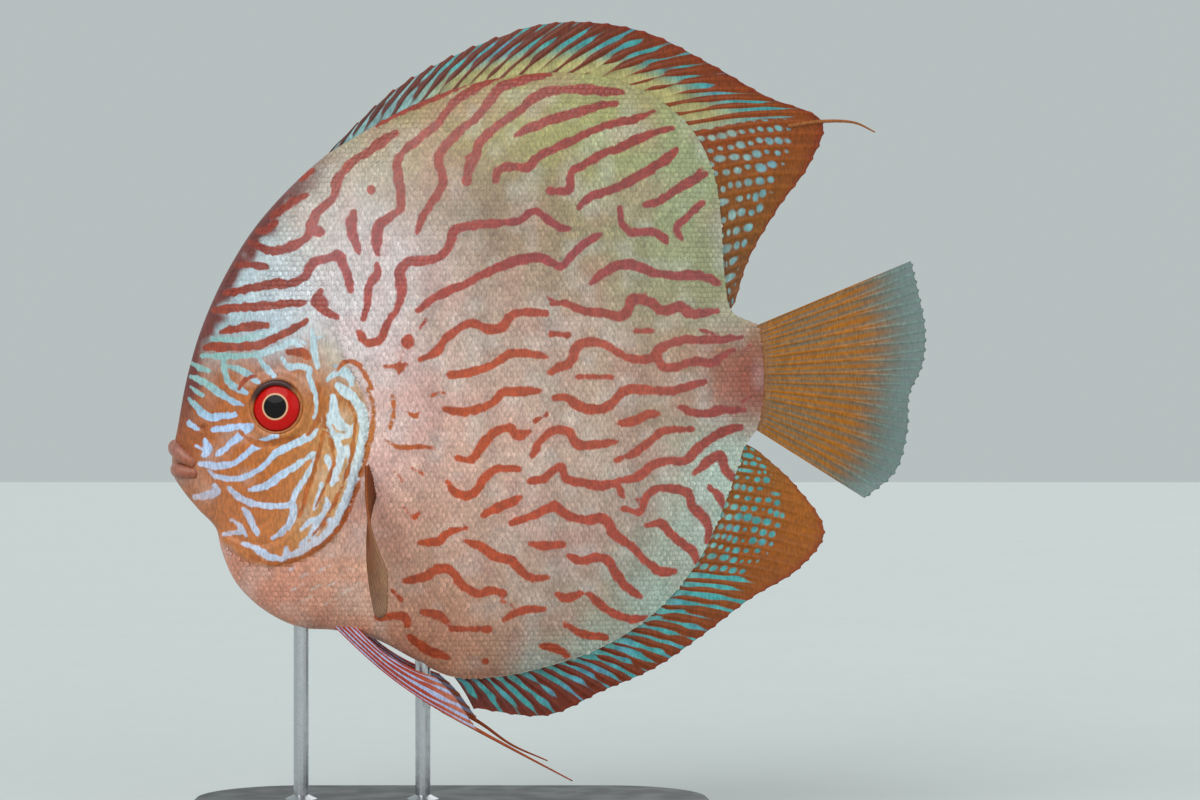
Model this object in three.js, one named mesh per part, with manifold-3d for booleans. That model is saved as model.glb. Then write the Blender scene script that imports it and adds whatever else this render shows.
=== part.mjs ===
// A discus fish, life size, in mid-water pose on a plain display stand.
// Millimetres, +Z up. The snout points to -X and the fish's left side faces -Y.
import * as THREE from 'three';
import { mergeVertices } from 'three/addons/utils/BufferGeometryUtils.js';
import Module from 'manifold-3d';

const wasm = await Module();
wasm.setup();

// Where the middle of the body stands in the model's frame
const FISH_X = -27.0;
const FISH_Z = 95.3;

// Clearance between neighbouring pieces, and how close two corners are welded
const GAP = 0.3;
const WELD = 1e-5;

// Edge of the body in the fish's own plane, [towards the tail, up] from the middle of the body
const FOREHEAD = [[-52.4, -15.1], [-51.3, -9.1], [-49.4, 1.1], [-46.2, 12.1], [-40.7, 24.2], [-33.5, 35.2]];
const DORSAL_ROOT = [
  [-21.0, 47.7], [-12.1, 53.4], [-2.1, 58.9], [8.5, 63.0], [20.1, 65.5], [31.8, 66.1], [42.4, 64.4],
  [51.3, 60.0], [58.1, 53.4], [62.1, 45.2], [63.8, 35.0], [64.4, 24.4], [66.2, 15.4],
];
const TAIL_ROOT = [[71.4, 12.5], [72.5, 7.0], [72.9, 1.5], [72.5, -4.0], [71.4, -9.3]];
const ANAL_ROOT = [
  [69.0, -12.4], [67.0, -18.6], [64.0, -26.6], [60.0, -35.5], [54.3, -43.5], [46.6, -50.7],
  [37.5, -56.0], [27.6, -59.4], [17.0, -61.7], [6.6, -61.7],
];
const BELLY = [[-1.1, -58.1], [-9.5, -53.8], [-18.0, -51.9], [-25.4, -51.3], [-32.9, -47.7], [-38.8, -42.0]];
const THROAT = [[-42.0, -35.0], [-43.2, -30.3], [-46.9, -26.3], [-50.2, -22.3], [-52.2, -18.9]];

// Margins of the fins, one station for each station of the root
const DORSAL_MARGIN = [
  [-16.9, 51.9], [-4.7, 63.4], [8.9, 71.0], [24.4, 76.3], [36.0, 77.0], [48.6, 74.6], [61.4, 68.2],
  [73.6, 61.2], [85.6, 55.8], [83.1, 47.3], [76.3, 37.7], [70.0, 26.9], [66.9, 17.6],
];
const ANAL_MARGIN = [
  [72.3, -14.4], [79.9, -21.4], [85.9, -31.2], [80.6, -38.8], [70.4, -45.2], [60.0, -53.2],
  [49.8, -60.2], [39.2, -64.9], [27.1, -70.2], [11.4, -68.7],
];
const TAIL_MARGIN = [
  [104.5, 26.5], [106.0, 19.7], [107.3, 11.7], [106.6, 4.2], [103.9, -2.1], [103.5, -10.0],
  [101.1, -18.4], [94.6, -24.2],
];
const DORSAL_THREAD = [[78.0, 54.9], [85.2, 55.9], [92.2, 55.6], [96.5, 53.6]];

// Thickness of the body
const CROWN = 13.4;
const CROWN_AT = -10;
const CROWN_FALL = 0.0012;
const SNOUT_FROM = -38;
const SNOUT_FALL = 0.02;
const RIM_FIN = 1.2;
const RIM_SOFT = 0.7;
const SECTION_POWER = 2.2;
const POWER_BARE = 0.52;
const POWER_FINNED = 0.78;
const THINNEST = 0.05;
const BODY_RINGS = [0.22, 0.42, 0.6, 0.74, 0.85, 0.92, 0.965, 1];
const BODY_SEGMENTS = 60;
const EDGE_SAMPLES = 720;
const SLOPE_STEP = 0.5;

// Degrees round the body where the fins' part of the rim begins and ends
const FINS_END_ABOVE = [108, 128];
const FINS_BEGIN_BELOW = [-98, -82];

// Lines that part the body
const NAPE_SEAM = [[-36.0, 46.0], [-31.4, 38.2], [-25.4, 27.6], [-20.1, 15.9], [-15.3, 5.7]];
const GILL_EDGE = [
  [-10.6, -3.2], [-10.4, -10.6], [-11.9, -18.0], [-14.0, -24.8], [-16.3, -30.7], [-20.8, -34.8],
  [-25.9, -37.3], [-31.8, -38.4], [-36.5, -36.9], [-40.7, -34.1], [-48.0, -31.0],
];
const CHEEK_EDGE = [
  [-41.5, -31.0], [-36.5, -32.9], [-32.2, -33.6], [-27.9, -31.4], [-25.0, -26.9], [-22.5, -20.1],
  [-20.9, -11.7], [-20.2, -3.2], [-17.4, 3.6],
];
const MOUTH_LINE = [
  [-58.0, -15.6], [-51.7, -15.8], [-47.8, -17.8], [-45.6, -21.0], [-44.2, -26.0], [-43.6, -38.0],
];
const STALK_SEAM = [[67.5, 24.0], [62.5, 12.0], [61.5, 1.0], [62.5, -10.0], [71.0, -22.0]];
const WALL_HALF = 40;
const SHARPEST = 0.4;

// Gill covers: how far they stand proud, and the cores left under them and under the head
const COVER_RISE = 0.5;
const COVER_CORE = [0.93, 0.8];
const HEAD_CORE = [0.92, 0.77];

// Eyes: an oval ball sunk in the flank, and the fold of skin round it
const EYE_AT = [-29.3, -4.6];
const EYE_RADIUS = 6.2;
const EYE_DEPTH = 3.3;
const EYE_BULGE = 1.5;
const LID_RADIUS = 5.7;
const LID_TUBE = 0.75;

// Lips and nostrils
const UPPER_LIP = { front: -51.9, side: -47.6, level: -13.3, drop: -3.1, spread: 4.5, high: 2.1, deep: 1.6 };
const LOWER_LIP = { front: -51.4, side: -46.9, level: -17.8, drop: -0.6, spread: 4.2, high: 1.7, deep: 1.6 };
const LIP_BEND = { back: 0.25, across: 0.66, down: 0.35 };
const LIP_STEPS = 10;
const NOSTRIL_AT = [-45.2, -9.1];
const NOSTRIL_RADIUS = 0.8;
const NOSTRIL_RING = 1.0;
const NOSTRIL_RIM = 0.35;

// Rays of the fins, and how thick they are
const DORSAL_SPINES = 9;
const DORSAL_RAYS = 40;
const ANAL_RAYS = 37;
const TAIL_RAYS = 13;
const PECTORAL_RAYS = 11;
const PELVIC_RAYS = 6;
const MEMBRANE = 0.6;
const RAY = 1.15;
const ROOT_THICK = 2.1;
const TIP_THICK = 0.5;
const RAY_TIP = 0.6;
const ROOT_SHARE = 0.3;
const ROOT_SINK = 0.6;
const EDGE_GROWTH = 1.0045;
const EDGE_DEPTH = 1.4;
const PAIRED_THIN = 0.85;
const TAIL_FORK = 0.45;
const FIN_ROWS = [0, 0.12, 0.32, 0.55, 0.76, 0.91, 1];
const THREAD_STEPS = 7;
const THREAD_SIDES = 5;
const THREAD_ROOT = 0.55;
const THREAD_TIP = 0.22;
const DORSAL_THREAD_SIDE = 0.1;

// Paired fins: root and tips from the leading ray to the last, [back, out, up]
const PECTORAL = {
  root: [[-10.4, 10.5, -14.6], [-9.0, 10.2, -17.0], [-7.4, 10.0, -19.2]],
  tips: [[-4.8, 31.5, -38.0], [-5.2, 29.0, -46.5], [-8.0, 21.5, -47.6], [-9.4, 14.5, -38.0]],
  bow: [-1.6, 2.4, -1.0],
};
const PELVIC = {
  root: [[-18.4, 2.0, -50.6], [-16.4, 2.4, -50.2], [-14.2, 2.6, -49.8]],
  tips: [[12.7, 8.2, -72.7], [10.9, 7.6, -70.0], [7.4, 6.6, -65.2], [3.8, 5.2, -61.7]],
  bow: [-0.6, 1.6, -1.6],
};
const PELVIC_THREAD = {
  left: [[5.0, 6.6, -68.3], [12.2, 7.8, -72.2], [21.2, 8.6, -77.0], [32.4, 9.0, -82.9]],
  right: [[5.0, 6.6, -68.3], [12.2, 7.8, -72.2], [19.0, 8.2, -77.0], [26.9, 8.6, -80.6]],
};

// Stand
const BASE = { length: 112, width: 78, thick: 6, corner: 22, bevel: 0.8, x: 6 };
const ROD_RADIUS = 1.6;
const ROD_FOOT = { radius: 3.4, high: 2.2 };
const ROD_FRONT_AT = [-25.2, -51.3];
const ROD_REAR_AT = [0.6, -59.0];
const ROD_SINK = 2.5;

const FINISH = {
  head: { color: 0xc4692c, roughness: 0.42 },
  jaw: { color: 0xbd6a34, roughness: 0.42 },
  cover: { color: 0xc98455, roughness: 0.4 },
  trunk: { color: 0xcdb49f, roughness: 0.45 },
  stalk: { color: 0xb98a80, roughness: 0.45 },
  median: { color: 0xa4481c, roughness: 0.5 },
  tail: { color: 0xb9a58a, roughness: 0.4 },
  pectoral: { color: 0xc77a3a, roughness: 0.45 },
  pelvic: { color: 0xb8553a, roughness: 0.45 },
  eye: { color: 0xc8160e, roughness: 0.12 },
  base: { color: 0x2a2a2c, roughness: 0.35 },
  rod: { color: 0xb9bcc0, roughness: 0.25, metalness: 1 },
};

const fish = new THREE.Group();

function finish(name) {
  return new THREE.MeshStandardMaterial({ metalness: 0, ...FINISH[name] });
}

// A curve in the fish's plane
function planeCurve(stations, closed = false) {
  const points = stations.map(([x, z]) => new THREE.Vector3(x, 0, z));
  return new THREE.CatmullRomCurve3(points, closed);
}

const bodyEdge = planeCurve(
  [...FOREHEAD, ...DORSAL_ROOT, ...TAIL_ROOT, ...ANAL_ROOT, ...BELLY, ...THROAT],
  true,
);
const edgeSamples = bodyEdge.getPoints(EDGE_SAMPLES);

function edgeRadius(angle) {
  const direction = new THREE.Vector3(Math.cos(angle), 0, Math.sin(angle));
  let best = edgeSamples[0];
  let bestTurn = -2;
  for (const point of edgeSamples) {
    const turn = point.dot(direction) / point.length();
    if (turn > bestTurn) {
      bestTurn = turn;
      best = point;
    }
  }
  return best.length();
}

// Half of the body's thickness at a share of the way from its middle to its edge
function halfThickness(share, x, z) {
  const angle = THREE.MathUtils.radToDeg(Math.atan2(z, x));
  const upper = 1 - THREE.MathUtils.smoothstep(angle, ...FINS_END_ABOVE);
  const lower = THREE.MathUtils.smoothstep(angle, ...FINS_BEGIN_BELOW);
  const finned = upper * lower;
  const rim = THREE.MathUtils.lerp(RIM_SOFT, RIM_FIN, finned);
  const power = THREE.MathUtils.lerp(POWER_BARE, POWER_FINNED, finned);
  const snout = Math.max(0, SNOUT_FROM - x);
  const crown = CROWN - CROWN_FALL * (x - CROWN_AT) ** 2 - SNOUT_FALL * snout ** 2;
  return rim + (crown - rim) * (1 - Math.min(share, 1) ** SECTION_POWER) ** power;
}

function thicknessAt(x, z) {
  return halfThickness(Math.hypot(x, z) / edgeRadius(Math.atan2(z, x)), x, z);
}

// The direction that the left flank faces at a place
function flankNormal(x, z) {
  const step = SLOPE_STEP;
  const slopeX = (thicknessAt(x + step, z) - thicknessAt(x - step, z)) / (2 * step);
  const slopeZ = (thicknessAt(x, z + step) - thicknessAt(x, z - step)) / (2 * step);
  return new THREE.Vector3(-slopeX, -1, -slopeZ).normalize();
}

// A mesh from its lists, a solid from a mesh, and back
function meshFrom(positions, triangles) {
  const geometry = new THREE.BufferGeometry();
  geometry.setAttribute('position', new THREE.Float32BufferAttribute(positions, 3));
  geometry.setIndex(triangles);
  return geometry;
}

function solid(geometry) {
  const plain = geometry.clone();
  plain.deleteAttribute('normal');
  plain.deleteAttribute('uv');
  const merged = mergeVertices(plain, WELD);
  return new wasm.Manifold(new wasm.Mesh({
    numProp: 3,
    vertProperties: new Float32Array(merged.attributes.position.array),
    triVerts: new Uint32Array(merged.index.array),
  }));
}

// A closed mesh as a solid, wound so that its faces point out
function outward(positions, triangles) {
  const shape = solid(meshFrom(positions, triangles));
  if (shape.volume() > 0) {
    return shape;
  }
  const turned = [];
  for (let i = 0; i < triangles.length; i += 3) {
    turned.push(triangles[i], triangles[i + 2], triangles[i + 1]);
  }
  return solid(meshFrom(positions, turned));
}

function largest(shape) {
  const pieces = shape.decompose();
  return pieces.reduce((most, piece) => (piece.volume() > most.volume() ? piece : most));
}

function bare(shape) {
  const mesh = largest(shape).getMesh();
  return meshFrom(Array.from(mesh.vertProperties), Array.from(mesh.triVerts));
}

function add(name, geometry, finishName) {
  const mesh = new THREE.Mesh(geometry, finish(finishName));
  mesh.name = name;
  fish.add(mesh);
}

// The body as one lens of rings, thicker all over by grow on each side
function bodyLens(grow) {
  const positions = [];
  const triangles = [];
  const ringStart = (side, ring) => 2 + (side * BODY_RINGS.length + ring) * BODY_SEGMENTS;
  const sides = [-1, 1];
  sides.forEach((sign) => positions.push(0, sign * (halfThickness(0, 0, 0) + grow), 0));
  sides.forEach((sign) => {
    BODY_RINGS.forEach((share) => {
      for (let k = 0; k < BODY_SEGMENTS; k += 1) {
        const point = bodyEdge.getPoint(k / BODY_SEGMENTS).multiplyScalar(share);
        const half = Math.max(halfThickness(share, point.x, point.z) + grow, THINNEST);
        positions.push(point.x, sign * half, point.z);
      }
    });
  });
  const face = (side, a, b, c) => triangles.push(...(side === 0 ? [a, b, c] : [a, c, b]));
  for (let k = 0; k < BODY_SEGMENTS; k += 1) {
    const next = (k + 1) % BODY_SEGMENTS;
    sides.forEach((sign, side) => {
      face(side, side, ringStart(side, 0) + next, ringStart(side, 0) + k);
      for (let ring = 0; ring + 1 < BODY_RINGS.length; ring += 1) {
        const inner = ringStart(side, ring);
        const outer = ringStart(side, ring + 1);
        face(side, inner + k, inner + next, outer + next);
        face(side, inner + k, outer + next, outer + k);
      }
    });
    const left = ringStart(0, BODY_RINGS.length - 1);
    const right = ringStart(1, BODY_RINGS.length - 1);
    triangles.push(left + k, left + next, right + next);
    triangles.push(left + k, right + next, right + k);
  }
  return outward(positions, triangles);
}

// A wall through the body along an outline in the fish's plane
function prism(outline) {
  const shape = new THREE.Shape(outline.map((point) => new THREE.Vector2(point.x, point.z)));
  const geometry = new THREE.ExtrudeGeometry(shape, { depth: 2 * WALL_HALF, bevelEnabled: false });
  geometry.translate(0, 0, -WALL_HALF);
  geometry.rotateX(Math.PI / 2);
  return solid(geometry);
}

// An open line moved sideways
function offset(line, distance) {
  return line.map((point, i) => {
    const before = line[Math.max(i - 1, 0)];
    const after = line[Math.min(i + 1, line.length - 1)];
    const along = after.clone().sub(before).normalize();
    return point.clone().add(new THREE.Vector3(-along.z * distance, 0, along.x * distance));
  });
}

// A closed outline moved out along its corners' mean normals
function grown(outline, distance) {
  const count = outline.length;
  const area = outline.reduce((sum, point, i) => {
    const next = outline[(i + 1) % count];
    return sum + point.x * next.z - next.x * point.z;
  }, 0);
  return outline.map((point, i) => {
    const before = point.clone().sub(outline[(i + count - 1) % count]).normalize();
    const after = outline[(i + 1) % count].clone().sub(point).normalize();
    const along = before.clone().add(after).normalize();
    const spread = (distance * Math.sign(area)) / Math.max(along.dot(after), SHARPEST);
    return point.clone().add(new THREE.Vector3(along.z, 0, -along.x).multiplyScalar(spread));
  });
}

// The thin wall that parts two pieces along a line
function cutAlong(line) {
  return prism([...offset(line, GAP / 2), ...offset(line, -GAP / 2).reverse()]);
}

// A lip: an oval section bent round the front of the mouth from one corner to the other
function lip({ front, side, level, drop, spread, high, deep }) {
  const half = [
    [side, -spread, level + drop],
    [
      THREE.MathUtils.lerp(front, side, LIP_BEND.back),
      -spread * LIP_BEND.across,
      level + drop * LIP_BEND.down,
    ],
    [front, 0, level],
  ];
  const points = [...half, ...half.slice(0, 2).reverse().map(([x, y, z]) => [x, -y, z])];
  const section = new THREE.Shape();
  section.absellipse(0, 0, deep, high, 0, Math.PI * 2);
  return solid(new THREE.ExtrudeGeometry(section, {
    steps: LIP_STEPS,
    curveSegments: 4,
    bevelEnabled: false,
    extrudePath: new THREE.CatmullRomCurve3(points.map((p) => new THREE.Vector3(...p))),
  }));
}

// Eye: an oval ball whose axis is the flank's normal, with the skin's fold round it
function eyePlacement(sign) {
  const [x, z] = EYE_AT;
  const normal = flankNormal(x, z);
  const surface = new THREE.Vector3(x, -thicknessAt(x, z), z);
  const centre = surface.clone().addScaledVector(normal, EYE_BULGE - EYE_DEPTH);
  const placement = new THREE.Object3D();
  const place = (at) => {
    placement.position.set(at.x, at.y * sign, at.z);
    placement.quaternion.setFromUnitVectors(
      new THREE.Vector3(0, 1, 0),
      new THREE.Vector3(normal.x, normal.y * sign, normal.z),
    );
    placement.updateMatrix();
    return placement.matrix.clone();
  };
  return { ball: place(centre), rim: place(surface) };
}

function eyeBall(grow) {
  const geometry = new THREE.SphereGeometry(1, 14, 8);
  geometry.scale(EYE_RADIUS + grow, EYE_DEPTH + grow, EYE_RADIUS + grow);
  return geometry;
}

function lid() {
  const geometry = new THREE.TorusGeometry(LID_RADIUS, LID_TUBE, 5, 18);
  geometry.rotateX(Math.PI / 2);
  return geometry;
}

// Nostril: a pit in a low ring
function nostril(sign) {
  const [x, z] = NOSTRIL_AT;
  const normal = flankNormal(x, z);
  const turn = new THREE.Quaternion().setFromUnitVectors(
    new THREE.Vector3(0, 0, 1),
    new THREE.Vector3(normal.x, normal.y * sign, normal.z),
  );
  const matrix = new THREE.Matrix4().compose(
    new THREE.Vector3(x, -thicknessAt(x, z) * sign, z),
    turn,
    new THREE.Vector3(1, 1, 1),
  );
  const ring = new THREE.TorusGeometry(NOSTRIL_RING, NOSTRIL_RIM, 5, 12).applyMatrix4(matrix);
  const pit = new THREE.SphereGeometry(NOSTRIL_RADIUS, 10, 6).applyMatrix4(matrix);
  return { ring: solid(ring), pit: solid(pit) };
}

// A fin as a grid of columns, ray and valley by turns, and rows from root to margin.
// place gives its middle surface, thick its thickness; both faces are split alike.
function finSolid({ columns, rows, place, thick }) {
  const last = rows.length - 1;
  const middle = [];
  for (let c = 0; c <= columns; c += 1) {
    middle.push(rows.map((share) => place(c, share)));
  }
  const normalAt = (c, r) => {
    const across = middle[Math.min(c + 1, columns)][r].clone().sub(middle[Math.max(c - 1, 0)][r]);
    const along = middle[c][Math.min(r + 1, last)].clone().sub(middle[c][Math.max(r - 1, 0)]);
    return across.cross(along).normalize();
  };
  const positions = [];
  [-0.5, 0.5].forEach((side) => {
    middle.forEach((column, c) => {
      column.forEach((point, r) => {
        const moved = point.clone().addScaledVector(normalAt(c, r), side * thick(c, rows[r]));
        positions.push(moved.x, moved.y, moved.z);
      });
    });
  });
  const left = (c, r) => c * rows.length + r;
  const right = (c, r) => (columns + 1 + c) * rows.length + r;
  const triangles = [];
  const quad = (a, b, c, d) => triangles.push(a, b, c, a, c, d);
  for (let c = 0; c < columns; c += 1) {
    for (let r = 0; r < last; r += 1) {
      quad(left(c, r), left(c, r + 1), left(c + 1, r + 1), left(c + 1, r));
      quad(right(c, r), right(c + 1, r), right(c + 1, r + 1), right(c, r + 1));
    }
    quad(left(c, 0), left(c + 1, 0), right(c + 1, 0), right(c, 0));
    quad(left(c, last), right(c, last), right(c + 1, last), left(c + 1, last));
  }
  for (let r = 0; r < last; r += 1) {
    quad(left(0, r), right(0, r), right(0, r + 1), left(0, r + 1));
    quad(left(columns, r), left(columns, r + 1), right(columns, r + 1), right(columns, r));
  }
  return outward(positions, triangles);
}

// A thread that thins to its tip
function threadSolid(stations) {
  const line = new THREE.CatmullRomCurve3(stations.map((p) => new THREE.Vector3(...p)));
  const positions = [];
  const triangles = [];
  for (let i = 0; i <= THREAD_STEPS; i += 1) {
    const share = i / THREAD_STEPS;
    const at = line.getPoint(share);
    const along = line.getTangent(share);
    const up = new THREE.Vector3(0, 1, 0).cross(along).normalize();
    const radius = THREE.MathUtils.lerp(THREAD_ROOT, THREAD_TIP, share);
    for (let k = 0; k < THREAD_SIDES; k += 1) {
      const turn = (2 * Math.PI * k) / THREAD_SIDES;
      const point = at.clone().addScaledVector(up, radius * Math.cos(turn));
      point.y += radius * Math.sin(turn);
      positions.push(point.x, point.y, point.z);
    }
  }
  const index = (i, k) => i * THREAD_SIDES + (k % THREAD_SIDES);
  for (let k = 0; k < THREAD_SIDES; k += 1) {
    for (let i = 0; i < THREAD_STEPS; i += 1) {
      triangles.push(index(i, k), index(i, k + 1), index(i + 1, k + 1));
      triangles.push(index(i, k), index(i + 1, k + 1), index(i + 1, k));
    }
  }
  for (let k = 1; k + 1 < THREAD_SIDES; k += 1) {
    triangles.push(index(0, 0), index(0, k + 1), index(0, k));
    triangles.push(index(THREAD_STEPS, 0), index(THREAD_STEPS, k), index(THREAD_STEPS, k + 1));
  }
  return outward(positions, triangles);
}

// How thick a fin is at a share of the way out, on a ray or between two
function finThickness(onRay, share) {
  const top = onRay ? RAY : MEMBRANE;
  const rise = Math.min(share / ROOT_SHARE, 1);
  const thinned = THREE.MathUtils.lerp(top, onRay ? RAY_TIP : TIP_THICK, share ** 2);
  return THREE.MathUtils.lerp(ROOT_THICK, thinned, Math.sqrt(rise));
}

// The body with the gap round its edge, which the roots of the fins are cut to
const edgeClear = solid(bare(bodyLens(0)).scale(EDGE_GROWTH, EDGE_DEPTH, EDGE_GROWTH));

// A fin on the midline: each ray runs from the body's edge to the margin in a slight bow
function medianFin({ root, margin, rays, columnsPerRay, bow, wave, notch, ridge }) {
  const rootLine = planeCurve(root);
  const marginLine = planeCurve(margin);
  const columns = (rays - 1) * columnsPerRay;
  const place = (c, share) => {
    const s = c / columns;
    const from = rootLine.getPoint(s);
    const along = rootLine.getTangent(s);
    from.add(new THREE.Vector3(along.z, 0, -along.x).multiplyScalar(ROOT_SINK));
    const ray = marginLine.getPoint(s).sub(from);
    const length = ray.length();
    const reach = ridge(c, 1) ? 1 : 1 - notch(s) / length;
    const at = from.clone().addScaledVector(ray, share * reach);
    at.addScaledVector(new THREE.Vector3(-ray.z, 0, ray.x), bow * Math.sin(Math.PI * share));
    const sway = Math.sin(2 * Math.PI * (wave.turns * s + wave.start));
    at.y = (wave.high * share ** 2 * sway * length) / wave.length;
    return at;
  };
  const thick = (c, share) => finThickness(ridge(c, share), share);
  return finSolid({ columns, rows: FIN_ROWS, place, thick }).subtract(edgeClear);
}

const everyOther = (c) => c % 2 === 0;

// Body, lips, lids and nostril rims as one form, then parted by thin cuts
const eyes = [-1, 1].map((sign) => eyePlacement(-sign));
const nostrils = [1, -1].map((sign) => nostril(sign));
const seamLine = planeCurve([...NAPE_SEAM, ...GILL_EDGE]).getPoints(44);
const cheekLine = planeCurve(CHEEK_EDGE).getPoints(20);
const mouthLine = planeCurve(MOUTH_LINE).getPoints(16);
const stalkLine = planeCurve(STALK_SEAM).getPoints(12);

let whole = bodyLens(0).add(lip(UPPER_LIP)).add(lip(LOWER_LIP));
eyes.forEach(({ rim }) => {
  whole = whole.add(solid(lid().applyMatrix4(rim)));
});
nostrils.forEach(({ ring }) => {
  whole = whole.add(ring);
});
eyes.forEach(({ ball }) => {
  whole = whole.subtract(solid(eyeBall(GAP).applyMatrix4(ball)));
});
nostrils.forEach(({ pit }) => {
  whole = whole.subtract(pit);
});

const parted = [seamLine, mouthLine, stalkLine].reduce((rest, line) => rest.subtract(cutAlong(line)), whole);
const [trunk, headWhole, stalk, jaw] = parted.decompose().sort((a, b) => b.volume() - a.volume());

// Gill covers: plates that stand a little proud of the cheek, each over its own side of the core
const [coverFront] = CHEEK_EDGE[0];
const coverTop = CHEEK_EDGE.at(-1)[1];
const coverOutline = [
  ...offset(seamLine, -GAP / 2).filter((point) => point.z < coverTop && point.x > coverFront),
  ...cheekLine,
];
const pocketOutline = grown(coverOutline, GAP);
const core = (across, deep) => solid(bare(bodyLens(0)).scale(across, deep, across));
const midSlab = solid(new THREE.BoxGeometry(4 * WALL_HALF, GAP, 4 * WALL_HALF));
const covers = bodyLens(COVER_RISE)
  .intersect(prism(coverOutline))
  .subtract(core(...COVER_CORE))
  .subtract(midSlab);
const coverPair = covers.decompose().sort((a, b) => b.volume() - a.volume()).slice(0, 2);
const head = headWhole.subtract(prism(pocketOutline).subtract(core(...HEAD_CORE)));

add('trunk', bare(trunk), 'trunk');
add('head', bare(head), 'head');
add('lower_jaw', bare(jaw), 'jaw');
add('tail_stalk', bare(stalk), 'stalk');
coverPair.forEach((cover) => {
  const { min } = cover.boundingBox();
  add(min[1] < -1 ? 'gill_cover_left' : 'gill_cover_right', bare(cover), 'cover');
});
eyes.forEach(({ ball }, i) => {
  add(i === 0 ? 'eye_left' : 'eye_right', bare(solid(eyeBall(0).applyMatrix4(ball))), 'eye');
});

// Fins on the midline
const dorsal = medianFin({
  root: DORSAL_ROOT,
  margin: DORSAL_MARGIN,
  rays: DORSAL_RAYS,
  columnsPerRay: 2,
  bow: 0.035,
  wave: { high: 1.5, turns: 1.4, start: 0.1, length: 22 },
  notch: (s) => (s * (DORSAL_RAYS - 1) < DORSAL_SPINES ? 0.9 : 0.35),
  ridge: everyOther,
});
const dorsalThread = threadSolid(DORSAL_THREAD.map(([x, z]) => [x, DORSAL_THREAD_SIDE, z]));
add('dorsal_fin', bare(dorsal.add(dorsalThread)), 'median');

const anal = medianFin({
  root: ANAL_ROOT,
  margin: ANAL_MARGIN,
  rays: ANAL_RAYS,
  columnsPerRay: 2,
  bow: 0.03,
  wave: { high: 1.3, turns: 1.2, start: 0.35, length: 20 },
  notch: () => 0.35,
  ridge: everyOther,
});
add('anal_fin', bare(anal), 'median');

const tail = medianFin({
  root: TAIL_ROOT,
  margin: TAIL_MARGIN,
  rays: TAIL_RAYS,
  columnsPerRay: 4,
  bow: 0,
  wave: { high: 1.8, turns: 0.9, start: 0.3, length: 34 },
  notch: () => 0.3,
  ridge: (c, share) => (share < TAIL_FORK ? c % 4 === 0 : c % 2 === 1),
});
add('tail_fin', bare(tail), 'tail');

// Paired fins: rays from a short root on the flank to a rounded or pointed tip
function pairedFin({ root, tips, rays, bow, sign }) {
  const mirrored = ([x, y, z]) => new THREE.Vector3(x, y * sign, z);
  const rootLine = new THREE.CatmullRomCurve3(root.map(mirrored));
  const tipLine = new THREE.CatmullRomCurve3(tips.map(mirrored));
  const columns = (rays - 1) * 2;
  const place = (c, share) => {
    const s = c / columns;
    const at = rootLine.getPoint(s).lerp(tipLine.getPoint(s), share);
    const bend = Math.sin(Math.PI * share);
    return at.add(new THREE.Vector3(bow[0] * bend, bow[1] * sign * bend, bow[2] * bend));
  };
  const thick = (c, share) => finThickness(everyOther(c), share) * PAIRED_THIN;
  return finSolid({ columns, rows: FIN_ROWS, place, thick });
}

const skinClear = bodyLens(GAP);
const coverClear = bodyLens(COVER_RISE + GAP).intersect(prism(pocketOutline));
[-1, 1].forEach((sign) => {
  const side = sign < 0 ? 'left' : 'right';
  const pectoral = pairedFin({ ...PECTORAL, rays: PECTORAL_RAYS, sign });
  add(`pectoral_fin_${side}`, bare(pectoral.subtract(skinClear).subtract(coverClear)), 'pectoral');
  const pelvic = pairedFin({ ...PELVIC, rays: PELVIC_RAYS, sign });
  const thread = threadSolid(PELVIC_THREAD[side].map(([x, y, z]) => [x, y * sign, z]));
  add(`pelvic_fin_${side}`, bare(pelvic.add(thread).subtract(skinClear)), 'pelvic');
});

// Stand: a plate on the floor and two rods cut to the belly they hold
function rod([x, z]) {
  const foot = BASE.thick + GAP - FISH_Z;
  const profile = [
    [0, foot],
    [ROD_FOOT.radius, foot],
    [ROD_FOOT.radius, foot + ROD_FOOT.high * 0.6],
    [ROD_RADIUS, foot + ROD_FOOT.high],
    [ROD_RADIUS, z + ROD_SINK],
    [0, z + ROD_SINK],
  ].map((p) => new THREE.Vector2(...p));
  const geometry = new THREE.LatheGeometry(profile, 16);
  geometry.rotateX(Math.PI / 2);
  geometry.translate(x, 0, 0);
  return solid(geometry);
}

function basePlate() {
  const halfLength = BASE.length / 2 - BASE.bevel;
  const halfWidth = BASE.width / 2 - BASE.bevel;
  const shape = new THREE.Shape();
  shape.moveTo(-halfLength + BASE.corner, -halfWidth);
  shape.lineTo(halfLength - BASE.corner, -halfWidth);
  shape.absarc(halfLength - BASE.corner, -halfWidth + BASE.corner, BASE.corner, -Math.PI / 2, 0);
  shape.absarc(halfLength - BASE.corner, halfWidth - BASE.corner, BASE.corner, 0, Math.PI / 2);
  shape.absarc(-halfLength + BASE.corner, halfWidth - BASE.corner, BASE.corner, Math.PI / 2, Math.PI);
  shape.absarc(-halfLength + BASE.corner, -halfWidth + BASE.corner, BASE.corner, Math.PI, 1.5 * Math.PI);
  const geometry = new THREE.ExtrudeGeometry(shape, {
    depth: BASE.thick - 2 * BASE.bevel,
    bevelThickness: BASE.bevel,
    bevelSize: BASE.bevel,
    bevelSegments: 1,
    curveSegments: 6,
  });
  geometry.translate(BASE.x, 0, BASE.bevel - FISH_Z);
  return solid(geometry);
}

add('stand_base', bare(basePlate()), 'base');
add('stand_rod_front', bare(rod(ROD_FRONT_AT).subtract(skinClear)), 'rod');
add('stand_rod_rear', bare(rod(ROD_REAR_AT).subtract(skinClear)), 'rod');

fish.position.set(FISH_X, 0, FISH_Z);

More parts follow.
